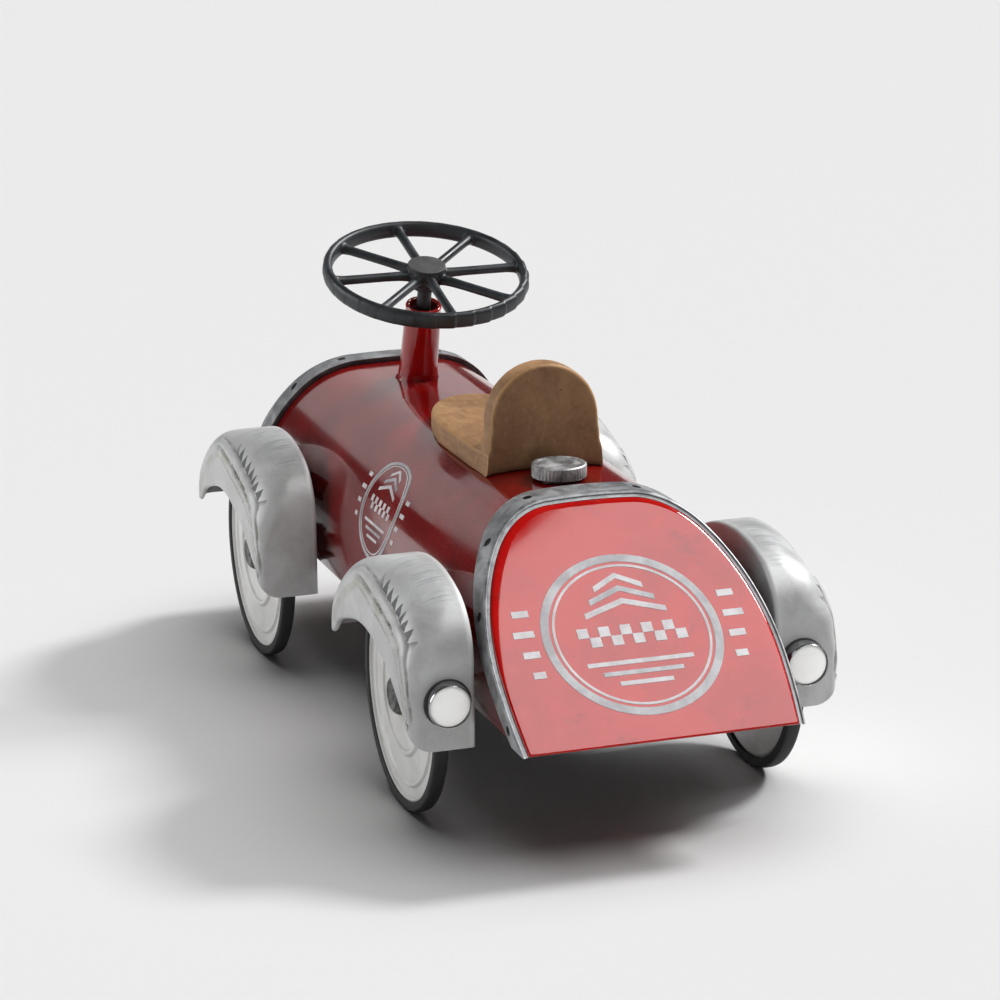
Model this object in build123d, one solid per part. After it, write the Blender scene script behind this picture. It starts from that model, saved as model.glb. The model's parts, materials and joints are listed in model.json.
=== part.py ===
from build123d import *
import os
from math import asin, cos, degrees, hypot, radians, sin

# Foot-to-floor ride-on car. Millimetres. +X is forward, +Y is left, +Z is up.
# The origin lies on the ground, at the middle of the length and of the width.

# Overall
LENGTH = 763.0
WHEELBASE = 424.0
REAR_OVERHANG = 182.0            # rear axle to the foot of the rear panel
BODY_BOTTOM = 94.0
BODY_TOP = 237.5
SHEET = 1.5                      # steel sheet of the body and the fenders
GAP = 0.2                        # gap between pieces that are fitted together
RUNNING = 0.05                   # radial clearance of a shaft in its bearing
OVERRUN = 10.0                   # how far a cut runs past the piece it cuts

REAR_AXLE_X = REAR_OVERHANG - LENGTH / 2
FRONT_AXLE_X = REAR_AXLE_X + WHEELBASE

# Body cross-section, as arcs named by the angle of their normal from vertical
CROWN_R = 660.0
CROWN_ANGLE = 3.0
SHOULDER_R = 70.0
SHOULDER_ANGLE = 49.0
SIDE_R = 114.0
SIDE_ANGLE = 90.0
TUCK_R = 250.0

# Body ends: how far they run inward for each millimetre of height
REAR_SLOPE = 1.136
FRONT_SLOPE = 0.469
PANEL_DEPTH = 12.0               # depth of each end panel, square to its face
PANEL_WALL = 2.0
TRIM_OFFSET = 4.5                # how far the edge trims stand off the body
REAR_TRIM = (1.5, 18.5)          # first and last edge, measured in from the panel face
FRONT_TRIM = (1.5, 23.5)
SCREW_ANGLES = (11.0, 49.0, 73.0, 97.0)
SCREW_INSET = 10.0               # trim screws, measured in from the panel face
SCREW_R = 1.4
SCREW_LENGTH = 7.5
SCREW_HEAD_R = 3.7
SCREW_HEAD = 1.8                 # thickness of the head
SCREW_SUNK = 0.6                 # head below the trim's surface
GRILLE_INSET = 22.0
GRILLE_FRAME = 6.0
GRILLE_DEPTH = (0.6, 3.6)        # front and back, measured in from the panel face
GRILLE_SLOT = (7.0, 14.0)        # width and pitch of the slots
GRILLE_SLOT_COUNT = 11

# Wheels
WHEEL_R = 92.0
AXLE_Z = WHEEL_R
TYRE_BORE_R = 84.0
TYRE_INNER_Y = 139.4
TYRE_OUTER_Y = 151.1
TYRE_EASE = 1.8
DISC_RINGS = (                   # radius and Y along the disc's outer face, from the rim inward
    (TYRE_BORE_R, 149.2), (81.5, 148.9), (78.5, 147.2), (71.5, 147.8),
    (69.5, 148.8), (47.0, 149.4), (45.0, 150.4),
)
AXLE_R = 4.0
AXLE_HOLE = 0.6                  # clearance of the rear axle in the body's sides
AXLE_END_Y = 152.5
SPACER_WALL = 2.4
BUSH_R = 7.0
BUSH_INNER_Y = 133.6
BUSH_FLANGE = (2.5, 2.0)         # reach and thickness
HUB_CAP_R = 16.0
HUB_CAP_Y = 150.6
HUB_CAP_HEIGHT = 7.1

# Floor and front axle
FLOOR_Z = 97.0
FLOOR_HALF_WIDTH = 106.0
FLOOR_RIM = 12.0                 # height of the turned-up sides
FLOOR_END = 6.0                  # between the floor and each end panel
BEAM_BOTTOM = 84.0
BEAM_THICKNESS = 6.0
BEAM_WIDTH = 16.0
BEAM_FLAT_Y = 104.0
BEAM_BOLT_Y = 60.0
BEAM_BOLT_TIP = 87.0
BEAM_PAD_R = 8.0
KINGPIN_Y = 126.0
KINGPIN_R = 3.0
PIN_HEAD = 2.0                   # reach and thickness of the pins' heads
YOKE_Y = (114.5, 134.0)
YOKE_Z = (76.0, 108.0)
YOKE_PLATE = 3.5
BOSS_R = 6.5
ARM_LENGTH = 36.0                # kingpin to tie rod pin
ARM_R = 5.0                      # half of the arm's width
ARM_Z = (84.0, 87.0)
ROD_Z = (80.0, 83.0)
ROD_WIDTH = 10.0
ROD_PIN_R = 2.5
CRANK_PLATE = (13.0, 14.0)       # tie rod's plate: reach past the crank pin, half width
CRANK_SLOT = (8.0, 0.6)          # half length, clearance on each side of the crank pin
BOLT_R = 2.5
BOLT_HEAD_R = 4.5
BOLT_HEAD = 3.0                  # thickness of the head
SMALL_BOLT_R = 2.0
SMALL_HEAD_R = 3.8
SMALL_HEAD = 2.4
BOLT_DEPTH = 8.0                 # stay bolts, inside the body's surface
HANGER_Y = 80.0
HANGER_BOLT_X = 12.0
HANGER_HALF = 8.0                # half width of the hangers' flanges
HANGER_PLATE = 2.0
HANGER_LENGTH = 36.0
HANGER_BOTTOM = 82.0
HANGER_SLOT = 6.0                # half width of the gap for the axle
BEARING_HEIGHT = 12.0
BEARING_X = (-18.0, 14.0)        # ends, measured from the column's axis at the floor
BEARING_HALF_WIDTH = 24.0
BEARING_BOLT_Y = 16.0

# Steering column, which leans back from the body
COLUMN_TILT = 16.35
COLUMN_FOOT_X = 219.2
COLUMN_TOP_R = 15.5
COLUMN_LENGTH = 73.0
COLUMN_BORE_R = 12.0
COLUMN_BASE = 15.0               # the tapered tube starts this far below the foot
COLUMN_BASE_R = 17.6
BUSH_DISTANCE = 51.0             # column foot to the bush
BUSH_HEIGHT = 10.0
SHAFT_R = 6.2
SHAFT_BOTTOM_Z = 90.0
HUB_DISTANCE = 111.8             # column foot to the top of the hub, along the axis
RIM_R = 85.6
RIM_HALF_WIDTH = 4.4
RIM_HALF_HEIGHT = 7.4
RIM_DROP = 9.1                   # hub top above the middle of the rim
SPOKE_COUNT = 8
SPOKE_START = 11.0
SPOKE_SIZE = (4.0, 4.8)          # half width and half height
HUB_TOP_R = 16.6
HUB_FOOT_R = 11.5
HUB_HEIGHT = 22.0
HUB_RIM = 5.0                    # height of the hub's straight top
HUB_RECESS_R = 10.0
HUB_RECESS = 8.5                 # depth of the recess for the nut
SHAFT_SHOULDER = 12.5            # below the hub top
THREAD_R = 4.0
THREAD_TOP = 1.5                 # below the hub top
NUT_R = 7.0
NUT_HEIGHT = 4.5
PLUG_HEIGHT = 2.2
CRANK_R = 12.3
CRANK_HALF_WIDTH = 5.0
CRANK_PLATE_HEIGHT = 4.0
CRANK_PIN_R = 2.5
CRANK_PIN_LENGTH = 11.0

# Fenders, with X measured from the axle below
FENDER_INNER_Y = 122.0
FENDER_OUTER_Y = 175.0
FENDER_BACK = -100.0
FENDER_FOOT_Z = 78.0
FENDER_RISE_Z = 143.0            # the back is flat up to this height
FENDER_ARCS = (                  # radius, and angle of the normal where the arc ends
    (52.5, -19.5), (160.0, 45.0), (46.5, 90.0),
)
FENDER_TIP_Z = 117.5
FENDER_SHOULDER = 17.0
FENDER_CORNER = 20.0             # radius of the outer lower corner of the back
FENDER_WALL_Z = 138.0            # lower edge of the wall beside the body
WHEEL_OPENING = (                # lower edge of the skirt, from the tip to the back
    (105, 110), (99, 119), (91, 125), (82, 133), (59, 141), (32, 147),
    (5, 147), (-21, 141), (-46, 132), (-64, 121), (-81, 109), (-101, 101),
)
STAY_X = (-35.0, 55.0)           # webs of the stays, measured from the axle
STAY_Z = (147.0, 169.0)
STAY_ANGLE = 80.0                # place of the bolts on the body's cross-section
STAY_PLATE = 2.5
STAY_FLANGE = 14.0

# Seat
SEAT_BACK_X = -116.5
SEAT_LENGTH = 207.0
SEAT_HALF_WIDTH = 52.0
SEAT_FRONT = 100.0               # length of the rounded front
SEAT_BASE_Z = 225.0              # start of the solid that is cut to the body's crown
SEAT_TOP_Z = 252.5
BACKREST_TOP_Z = 323.0
BACKREST_R = 45.5
BACKREST_FOOT = 50.5             # half width at the base
BACKREST_THICKNESS = 21.0
SEAT_FILLET = 20.0
SEAT_BOLTS = (30.0, 110.0)       # measured from the back of the seat
SEAT_THREAD = 5.0                # bolt tips below the seat's top

# Filler cap and lamps
CAP_X = -148.1
CAP_R = 22.0
CAP_Z = (239.4, 250.4)
CAP_TOP = 3.4                    # thickness over the neck
CAP_DISH = (150.0, 1.2, 2.5)     # radius, depth and rim of the dished top
NECK_R = 15.0
NECK_WALL = 2.5
NECK_TOP = 4.0                   # below the top of the cap
LAMP_Y = 144.0
LAMP_Z = 115.5
LAMP_R = 17.0
LAMP_DEPTH = 11.0                # rim of the housing above the fender
GASKET = (1.8, 1.2)              # reach past the housing, and thickness
LENS_R = 16.0
LENS_SEAT = 6.4                  # back of the lens above the fender
LENS_SPHERE_R = 21.0
LENS_RISE = 6.4


def rear_x(z, depth=0.0):
    """X of the rear end at height z, for a plane set in by depth."""
    return -LENGTH / 2 + REAR_SLOPE * (z - BODY_BOTTOM) + depth * hypot(1, REAR_SLOPE)


def front_x(z, depth=0.0):
    """X of the front end at height z, for a plane set in by depth."""
    return LENGTH / 2 - FRONT_SLOPE * (z - BODY_BOTTOM) - depth * hypot(1, FRONT_SLOPE)


def end_at(place, depth):
    """Function of height for the end that rear_x or front_x gives at this depth."""
    return lambda z: place(z, depth)


def far_ends():
    """Two upright ends that lie well outside the car."""
    return (lambda z: -LENGTH), (lambda z: LENGTH)


def slice_ends(place, shallow, deep):
    """The two ends of a slice between two depths, lower X first."""
    ends = (end_at(place, shallow), end_at(place, deep))
    return ends if place is rear_x else ends[::-1]


def body_section(offset=0.0, bottom=BODY_BOTTOM):
    """Face of the arched cross-section, offset outward, in the YZ plane."""
    crown = JernArc((0, BODY_TOP + offset), (1, 0), CROWN_R + offset, -CROWN_ANGLE)
    shoulder = JernArc(crown @ 1, crown % 1, SHOULDER_R + offset, CROWN_ANGLE - SHOULDER_ANGLE)
    side = JernArc(shoulder @ 1, shoulder % 1, SIDE_R + offset, SHOULDER_ANGLE - SIDE_ANGLE)
    drop = (side @ 1).Y - bottom
    tuck = JernArc(side @ 1, side % 1, TUCK_R + offset, -degrees(asin(drop / (TUCK_R + offset))))
    floor = Line(tuck @ 1, (0, bottom))
    half = [crown, shoulder, side, tuck, floor]
    other = [mirror(edge, about=Plane.YZ) for edge in half]
    return Plane.YZ * make_face(half + other)


def outline_point(angle, offset):
    """Point and outward direction on the cross-section where its normal has this angle."""
    side = 1 if angle >= 0 else -1
    turn = radians(abs(angle))
    radius = CROWN_R
    y, z = 0.0, BODY_TOP - CROWN_R
    for next_radius, start in ((SHOULDER_R, CROWN_ANGLE), (SIDE_R, SHOULDER_ANGLE), (TUCK_R, SIDE_ANGLE)):
        if abs(angle) > start:
            y += (radius - next_radius) * sin(radians(start))
            z += (radius - next_radius) * cos(radians(start))
            radius = next_radius
    reach = radius + offset
    return side * (y + reach * sin(turn)), z + reach * cos(turn), side * sin(turn), cos(turn)


def side_prism(points, y_low, y_high):
    """Solid with an outline in the XZ plane that runs from y_low to y_high."""
    face = make_face(Polyline(*[(x, y_low, z) for x, z in points], close=True))
    return extrude(face, y_high - y_low, dir=(0, 1, 0))


def barrel(start, end, offset=0.0, bottom=BODY_BOTTOM):
    """The body's section, cut off between two sloping ends."""
    low, high = bottom - OVERRUN, BODY_TOP + offset + OVERRUN
    span = 2 * (SIDE_R + offset)
    bar = Pos(-LENGTH, 0, 0) * extrude(body_section(offset, bottom), 2 * LENGTH)
    ends = [(start(low), low), (end(low), low), (end(high), high), (start(high), high)]
    return bar & side_prism(ends, -span, span)


def rod(radius, start, end):
    """Round bar between two points."""
    line = Vector(*end) - Vector(*start)
    plane = Plane(origin=start, z_dir=line)
    return plane * extrude(Circle(radius), line.length)


def upright(radius, x, y, z_low, z_high):
    """Vertical round bar."""
    return rod(radius, (x, y, z_low), (x, y, z_high))


def crosswise(radius, x, z, y_low, y_high):
    """Round bar along Y."""
    return rod(radius, (x, y_low, z), (x, y_high, z))


def block(x_range, y_range, z_range):
    """Box between stated limits."""
    size = [high - low for low, high in (x_range, y_range, z_range)]
    corner = (x_range[0], y_range[0], z_range[0])
    return Pos(*corner) * Box(*size, align=(Align.MIN, Align.MIN, Align.MIN))


def mirrored(shape):
    """The same shape on the other side of the car."""
    return mirror(shape, about=Plane.XZ)


def both_sides(shape):
    """A group that holds the shape and its mirror image as separate solids."""
    return Compound(shape.solids() + mirrored(shape).solids())


# Body

def body_shell():
    """Rolled sheet barrel, open below and at both ends."""
    shell = barrel(end_at(rear_x, PANEL_DEPTH + GAP), end_at(front_x, PANEL_DEPTH + GAP))
    shell -= barrel(*far_ends(), -SHEET, BODY_BOTTOM - OVERRUN)
    low, high = BODY_TOP - OVERRUN, BODY_TOP + OVERRUN
    shell -= upright(COLUMN_BORE_R, COLUMN_FOOT_X, 0, low, high)
    for x in seat_bolt_places():
        shell -= upright(BOLT_R + GAP, x, 0, low, high)
    for place in (rear_x, front_x):
        for point in trim_screw_places(place):
            shell -= trim_screw_hole(point)
    shell -= crosswise(AXLE_R + AXLE_HOLE, REAR_AXLE_X, AXLE_Z, -SIDE_R, SIDE_R)
    for plane in stay_bolt_planes():
        shell -= plane * Pos(0, 0, -OVERRUN) * extrude(Circle(SMALL_BOLT_R + GAP), 2 * OVERRUN)
    return shell


def end_panel(place):
    """Shallow pressed lid that closes one end. place(z, depth) gives the end's X."""
    outside = slice_ends(place, 0, PANEL_DEPTH)
    inside = slice_ends(place, PANEL_WALL, PANEL_DEPTH + OVERRUN)
    lid = barrel(*outside) - barrel(*inside, -PANEL_WALL, BODY_BOTTOM + PANEL_WALL)
    for point in trim_screw_places(place):
        lid -= trim_screw_hole(point)
    return lid


def front_panel():
    """Front lid with an opening for the grille."""
    ends = slice_ends(front_x, -OVERRUN, PANEL_DEPTH + OVERRUN)
    return end_panel(front_x) - barrel(*ends, -GRILLE_INSET, BODY_BOTTOM + GRILLE_INSET)


def grille():
    """Plate with upright slots that fills the front panel's opening."""
    inset = GRILLE_INSET + GAP
    plate = barrel(*slice_ends(front_x, *GRILLE_DEPTH), -inset, BODY_BOTTOM + inset)
    inset = inset + GRILLE_FRAME
    window = barrel(*slice_ends(front_x, -OVERRUN, OVERRUN), -inset, BODY_BOTTOM + inset)
    width, pitch = GRILLE_SLOT
    for index in range(GRILLE_SLOT_COUNT):
        y = (index - (GRILLE_SLOT_COUNT - 1) / 2) * pitch
        plate -= window & block((0, LENGTH), (y - width / 2, y + width / 2), (0, BODY_TOP))
    return plate


def trim(place, edges):
    """Strip wrapped over the edge between the body and an end panel."""
    strip = barrel(*slice_ends(place, *edges), TRIM_OFFSET)
    strip -= barrel(*far_ends(), GAP, BODY_BOTTOM - OVERRUN)
    for point in trim_screw_places(place):
        strip -= trim_screw_hole(point)
    return strip


def trim_screw_places(place):
    """Planes on the trim's surface that face outward, one for each screw."""
    planes = []
    for angle in SCREW_ANGLES:
        for side in (-1, 1):
            y, z, out_y, out_z = outline_point(side * angle, TRIM_OFFSET)
            planes.append(Plane(origin=(place(z, SCREW_INSET), y, z), z_dir=(0, out_y, out_z)))
    return planes


def trim_screw(plane):
    """Small flat-headed screw, set a little below the trim's surface."""
    head = Pos(0, 0, -SCREW_SUNK - SCREW_HEAD) * extrude(Circle(SCREW_HEAD_R), SCREW_HEAD)
    shank = Pos(0, 0, -SCREW_LENGTH) * extrude(Circle(SCREW_R), SCREW_LENGTH - SCREW_HEAD)
    return plane * (head + shank)


def trim_screw_hole(plane):
    """Stepped hole for one trim screw."""
    head = Pos(0, 0, -SCREW_SUNK - SCREW_HEAD) * extrude(Circle(SCREW_HEAD_R + GAP), OVERRUN)
    shank = Pos(0, 0, -SCREW_LENGTH - GAP) * extrude(Circle(SCREW_R + GAP), SCREW_LENGTH)
    return plane * (head + shank)


def trim_screws(place):
    """All screws of one trim, as separate solids."""
    return Compound([trim_screw(plane).solid() for plane in trim_screw_places(place)])


def floor_pan():
    """Flat floor with turned-up sides."""
    ends = (rear_x(FLOOR_Z, PANEL_DEPTH + FLOOR_END), front_x(FLOOR_Z, PANEL_DEPTH + FLOOR_END))
    outside = block(ends, (-FLOOR_HALF_WIDTH, FLOOR_HALF_WIDTH), (FLOOR_Z, FLOOR_Z + FLOOR_RIM))
    inner = FLOOR_HALF_WIDTH - SHEET
    pan = outside - block((-LENGTH, LENGTH), (-inner, inner), (FLOOR_Z + SHEET, BODY_TOP))
    for x, y, _ in chassis_bolt_places():
        pan -= upright(BOLT_R + GAP, x, y, 0, BODY_TOP)
    return pan - upright(COLUMN_BORE_R - 2, shaft_floor_x(), 0, 0, BODY_TOP)


def shaft_floor_x():
    """X where the column's axis meets the floor."""
    return column_point(axis_distance(FLOOR_Z)).X


def chassis_bolt_places():
    """X, Y and underside height of every bolt that goes up through the floor."""
    hanger_tip = FLOOR_Z - 2 * SHEET
    bearing_tip = FLOOR_Z - 4.0
    places = []
    for side in (-1, 1):
        places.append((FRONT_AXLE_X, side * BEAM_BOLT_Y, BEAM_BOLT_TIP))
        places.append((REAR_AXLE_X - HANGER_BOLT_X, side * HANGER_Y, hanger_tip))
        places.append((REAR_AXLE_X + HANGER_BOLT_X, side * HANGER_Y, hanger_tip))
        places.append((shaft_floor_x(), side * BEARING_BOLT_Y, bearing_tip))
    return places


def chassis_bolts():
    """Bolts whose round heads sit on top of the floor or the bearing block."""
    bolts = []
    for x, y, tip_z in chassis_bolt_places():
        on_bearing = abs(y) == BEARING_BOLT_Y
        seat_z = FLOOR_Z + SHEET + (BEARING_HEIGHT if on_bearing else 0)
        bolts.append(headed_pin(x, y, BOLT_R, BOLT_HEAD_R, (tip_z, seat_z, seat_z + BOLT_HEAD)))
    return Compound([bolt.solid() for bolt in bolts])


def headed_pin(x, y, shank_r, head_r, heights):
    """Upright pin with its head on top. heights are the tip, the seat and the top."""
    tip, seat, top = heights
    return upright(shank_r, x, y, tip, top) + upright(head_r, x, y, seat, top)


# Rear axle

def rear_axle():
    """Plain rod that carries both rear wheels."""
    return crosswise(AXLE_R, REAR_AXLE_X, AXLE_Z, -AXLE_END_Y, AXLE_END_Y)


def rear_axle_hangers():
    """Two folded plates that hold the rear axle under the floor."""
    top = FLOOR_Z - GAP
    flange_z = (top - SHEET, top)
    half_length = HANGER_LENGTH / 2
    outer_y = HANGER_Y + HANGER_HALF
    flange = block((-half_length, half_length), (HANGER_Y - HANGER_HALF, outer_y), flange_z)
    flange -= block((-HANGER_SLOT, HANGER_SLOT), (0, outer_y + OVERRUN), (0, BODY_TOP))
    web = block((-HANGER_HALF, HANGER_HALF), (outer_y - HANGER_PLATE, outer_y), (HANGER_BOTTOM, top))
    hanger = Pos(REAR_AXLE_X, 0, 0) * (flange + web)
    for offset in (-HANGER_BOLT_X, HANGER_BOLT_X):
        hanger -= upright(BOLT_R + GAP, REAR_AXLE_X + offset, HANGER_Y, 0, BODY_TOP)
    hanger -= crosswise(AXLE_R + GAP, REAR_AXLE_X, AXLE_Z, 0, AXLE_END_Y)
    return both_sides(hanger)


def rear_axle_spacers():
    """Tubes that keep each rear wheel clear of the body."""
    tube = crosswise(AXLE_R + SPACER_WALL, REAR_AXLE_X, AXLE_Z, SIDE_R - 4, BUSH_INNER_Y - GAP)
    return both_sides(tube - crosswise(AXLE_R + GAP, REAR_AXLE_X, AXLE_Z, 0, AXLE_END_Y))


# Front axle and steering linkage

def front_axle_beam():
    """Flat bar under the floor with a yoke at each end."""
    x_range = (FRONT_AXLE_X - BEAM_WIDTH / 2, FRONT_AXLE_X + BEAM_WIDTH / 2)
    top = BEAM_BOTTOM + BEAM_THICKNESS
    inner_y, outer_y = YOKE_Y
    beam = block(x_range, (0, inner_y + YOKE_PLATE), (BEAM_BOTTOM, top))
    beam -= block(x_range, (BEAM_FLAT_Y, inner_y - 2), (0, BEAM_BOTTOM + 1))
    beam += block(x_range, (inner_y, inner_y + YOKE_PLATE), YOKE_Z)
    for low, high in ((YOKE_Z[0], YOKE_Z[0] + YOKE_PLATE), (YOKE_Z[1] - YOKE_PLATE, YOKE_Z[1])):
        beam += block(x_range, (inner_y, outer_y), (low, high))
    beam += upright(BEAM_PAD_R, FRONT_AXLE_X, BEAM_BOLT_Y, top, FLOOR_Z - GAP)
    beam -= upright(BOLT_R + GAP, FRONT_AXLE_X, BEAM_BOLT_Y, BEAM_BOLT_TIP - 1, FLOOR_Z)
    beam -= upright(KINGPIN_R + RUNNING, FRONT_AXLE_X, KINGPIN_Y, 0, BODY_TOP)
    return beam + mirrored(beam)


def kingpins():
    """Headed pins that the knuckles turn on."""
    low, high = YOKE_Z
    heights = (low - 3, high + GAP, high + PIN_HEAD)
    return both_sides(headed_pin(FRONT_AXLE_X, KINGPIN_Y, KINGPIN_R, KINGPIN_R + PIN_HEAD, heights))


def knuckle():
    """Left knuckle: boss, stub axle and forward steering arm."""
    low, high = YOKE_Z[0] + YOKE_PLATE + GAP, YOKE_Z[1] - YOKE_PLATE - GAP
    boss = upright(BOSS_R, FRONT_AXLE_X, KINGPIN_Y, low, high)
    stub = crosswise(AXLE_R, FRONT_AXLE_X, AXLE_Z, KINGPIN_Y, AXLE_END_Y)
    pin_x = FRONT_AXLE_X + ARM_LENGTH
    arm = block((FRONT_AXLE_X, pin_x), (KINGPIN_Y - ARM_R, KINGPIN_Y + ARM_R), ARM_Z)
    arm += upright(ARM_R, pin_x, KINGPIN_Y, *ARM_Z)
    shape = boss + stub + arm
    shape -= upright(KINGPIN_R + RUNNING, FRONT_AXLE_X, KINGPIN_Y, 0, BODY_TOP)
    return shape - upright(ROD_PIN_R + RUNNING, pin_x, KINGPIN_Y, 0, BODY_TOP)


def tie_rod():
    """Flat bar that joins both arms, with a slotted plate for the crank pin."""
    pin_x = FRONT_AXLE_X + ARM_LENGTH
    bar = block((pin_x - ROD_WIDTH / 2, pin_x + ROD_WIDTH / 2), (-KINGPIN_Y, KINGPIN_Y), ROD_Z)
    for side in (-1, 1):
        bar += upright(ROD_WIDTH / 2, pin_x, side * KINGPIN_Y, *ROD_Z)
        bar -= upright(ROD_PIN_R + GAP, pin_x, side * KINGPIN_Y, 0, BODY_TOP)
    crank_x = crank_pin_point(sum(ROD_Z) / 2).X
    reach, half_plate = CRANK_PLATE
    bar += block((pin_x, crank_x + reach), (-half_plate, half_plate), ROD_Z)
    half_length, clearance = CRANK_SLOT
    half_slot = CRANK_PIN_R + clearance
    slot_x = (crank_x - half_length, crank_x + half_length)
    return bar - block(slot_x, (-half_slot, half_slot), (0, BODY_TOP))


def tie_rod_pins():
    """Pins with their heads below, one at each end of the tie rod."""
    pin_x = FRONT_AXLE_X + ARM_LENGTH
    head_z = ROD_Z[0] - PIN_HEAD
    pin = upright(ROD_PIN_R, pin_x, KINGPIN_Y, head_z, ARM_Z[1] + 1)
    return both_sides(pin + upright(ROD_PIN_R + PIN_HEAD, pin_x, KINGPIN_Y, head_z, ROD_Z[0] - GAP))


# Steering column

def column_plane(distance):
    """Plane square to the column's axis, at a distance above the column's foot."""
    tilt = radians(COLUMN_TILT)
    return Plane(origin=column_point(distance), x_dir=(cos(tilt), 0, sin(tilt)),
                 z_dir=(-sin(tilt), 0, cos(tilt)))


def column_point(distance):
    """Point on the column's axis."""
    tilt = radians(COLUMN_TILT)
    return Vector(COLUMN_FOOT_X - distance * sin(tilt), 0, BODY_TOP + distance * cos(tilt))


def axis_distance(z):
    """Distance from the column's foot to height z, along its axis."""
    return (z - BODY_TOP) / cos(radians(COLUMN_TILT))


def crank_pin_point(z):
    """Point at height z on the axis of the crank's pin."""
    tilt = radians(COLUMN_TILT)
    level = axis_distance(z) - CRANK_R * sin(tilt) / cos(tilt)
    return column_point(level) + Vector(CRANK_R * cos(tilt), 0, CRANK_R * sin(tilt))


def column_tube():
    """Tapered tube on top of the body, cut level where it meets the body."""
    foot = column_plane(-COLUMN_BASE) * Circle(COLUMN_BASE_R)
    cone = loft([foot, column_plane(COLUMN_LENGTH) * Circle(COLUMN_TOP_R)])
    bore_length = COLUMN_LENGTH + COLUMN_BASE + 2 * OVERRUN
    cone -= column_plane(-COLUMN_BASE - OVERRUN) * extrude(Circle(COLUMN_BORE_R), bore_length)
    return cone & block((0, LENGTH), (-SIDE_R, SIDE_R), (BODY_TOP + GAP / 4, 2 * BODY_TOP))


def column_bush():
    """Bush near the top of the column tube."""
    ring = Circle(COLUMN_BORE_R - RUNNING) - Circle(SHAFT_R + RUNNING)
    return column_plane(BUSH_DISTANCE) * extrude(ring, BUSH_HEIGHT)


def shaft_bearing():
    """Block on the floor that holds the lower end of the shaft."""
    low = FLOOR_Z + SHEET
    x = shaft_floor_x()
    x_range = (x + BEARING_X[0], x + BEARING_X[1])
    body = block(x_range, (-BEARING_HALF_WIDTH, BEARING_HALF_WIDTH), (low, low + BEARING_HEIGHT))
    bore_start = axis_distance(FLOOR_Z - OVERRUN)
    bore_length = BEARING_HEIGHT + 3 * OVERRUN
    body -= column_plane(bore_start) * extrude(Circle(SHAFT_R + RUNNING), bore_length)
    for side in (-1, 1):
        body -= upright(BOLT_R + GAP, x, side * BEARING_BOLT_Y, 0, BODY_TOP)
    return body


def steering_shaft():
    """Shaft with a threaded top end and a crank at the bottom."""
    low = axis_distance(SHAFT_BOTTOM_Z)
    shoulder = HUB_DISTANCE - SHAFT_SHOULDER
    shaft = column_plane(low) * extrude(Circle(SHAFT_R), shoulder - low)
    shaft += column_plane(shoulder - 1) * extrude(Circle(THREAD_R), SHAFT_SHOULDER - THREAD_TOP)
    web = Rectangle(CRANK_R, 2 * CRANK_HALF_WIDTH, align=(Align.MIN, Align.CENTER))
    web += Pos(CRANK_R, 0) * Circle(CRANK_HALF_WIDTH)
    web += Circle(SHAFT_R)
    web_low = low - CRANK_PLATE_HEIGHT
    shaft += column_plane(web_low) * extrude(web, CRANK_PLATE_HEIGHT)
    pin = Pos(CRANK_R, 0, 0) * extrude(Circle(CRANK_PIN_R), CRANK_PIN_LENGTH + 1)
    return shaft + column_plane(web_low - CRANK_PIN_LENGTH) * pin


def steering_wheel():
    """Eight-spoke wheel with a tall oval rim and a tapered hub."""
    foot, neck = -HUB_HEIGHT, -HUB_RIM
    hub = loft([Pos(0, 0, foot) * Circle(HUB_FOOT_R), Pos(0, 0, neck) * Circle(HUB_TOP_R)])
    hub += Pos(0, 0, neck) * extrude(Circle(HUB_TOP_R), HUB_RIM)
    low = foot - OVERRUN
    hub -= Pos(0, 0, low) * extrude(Circle(SHAFT_R + GAP), -low - SHAFT_SHOULDER)
    hub -= Pos(0, 0, low) * extrude(Circle(THREAD_R + GAP), -low + OVERRUN)
    hub -= Pos(0, 0, -HUB_RECESS) * extrude(Circle(HUB_RECESS_R), HUB_RECESS + OVERRUN)
    wheel = Rot(0, 0, 180 / SPOKE_COUNT) * hub
    spoke_plane = Plane(origin=(SPOKE_START, 0, -RIM_DROP), x_dir=(0, 1, 0), z_dir=(1, 0, 0))
    spoke = spoke_plane * extrude(Ellipse(*SPOKE_SIZE), RIM_R - SPOKE_START - 1)
    for index in range(SPOKE_COUNT):
        wheel += Rot(0, 0, index * 360 / SPOKE_COUNT) * spoke
    rim = revolve(Plane.XZ * Pos(RIM_R, -RIM_DROP) * Ellipse(RIM_HALF_WIDTH, RIM_HALF_HEIGHT), Axis.Z)
    wheel += Rot(0, 0, 180 / SPOKE_COUNT) * rim
    return column_plane(HUB_DISTANCE) * wheel


def steering_nut():
    """Nut that holds the wheel on the shaft."""
    nut = extrude(RegularPolygon(NUT_R, 6) - Circle(THREAD_R + GAP / 2), NUT_HEIGHT)
    return column_plane(HUB_DISTANCE) * Pos(0, 0, GAP - HUB_RECESS) * nut


def steering_wheel_cap():
    """Round plug that covers the nut."""
    return column_plane(HUB_DISTANCE - PLUG_HEIGHT) * extrude(Circle(HUB_RECESS_R - GAP), PLUG_HEIGHT)


# Wheels, modelled at the left side and turned about the Y axis

def turned(points, x):
    """Solid of revolution about an axle, from a closed outline of radius and Y."""
    face = make_face(Polyline(*points, close=True))
    return Pos(x, 0, AXLE_Z) * revolve(face, Axis.Y)


def wheel_disc(x):
    """Pressed disc: flat inside, with raised rings outside."""
    inner_y = TYRE_INNER_Y + SHEET
    outline = [(BUSH_R, inner_y), (TYRE_BORE_R, inner_y), *DISC_RINGS, (BUSH_R, HUB_CAP_Y - GAP / 2)]
    return turned(outline, x)


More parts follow.
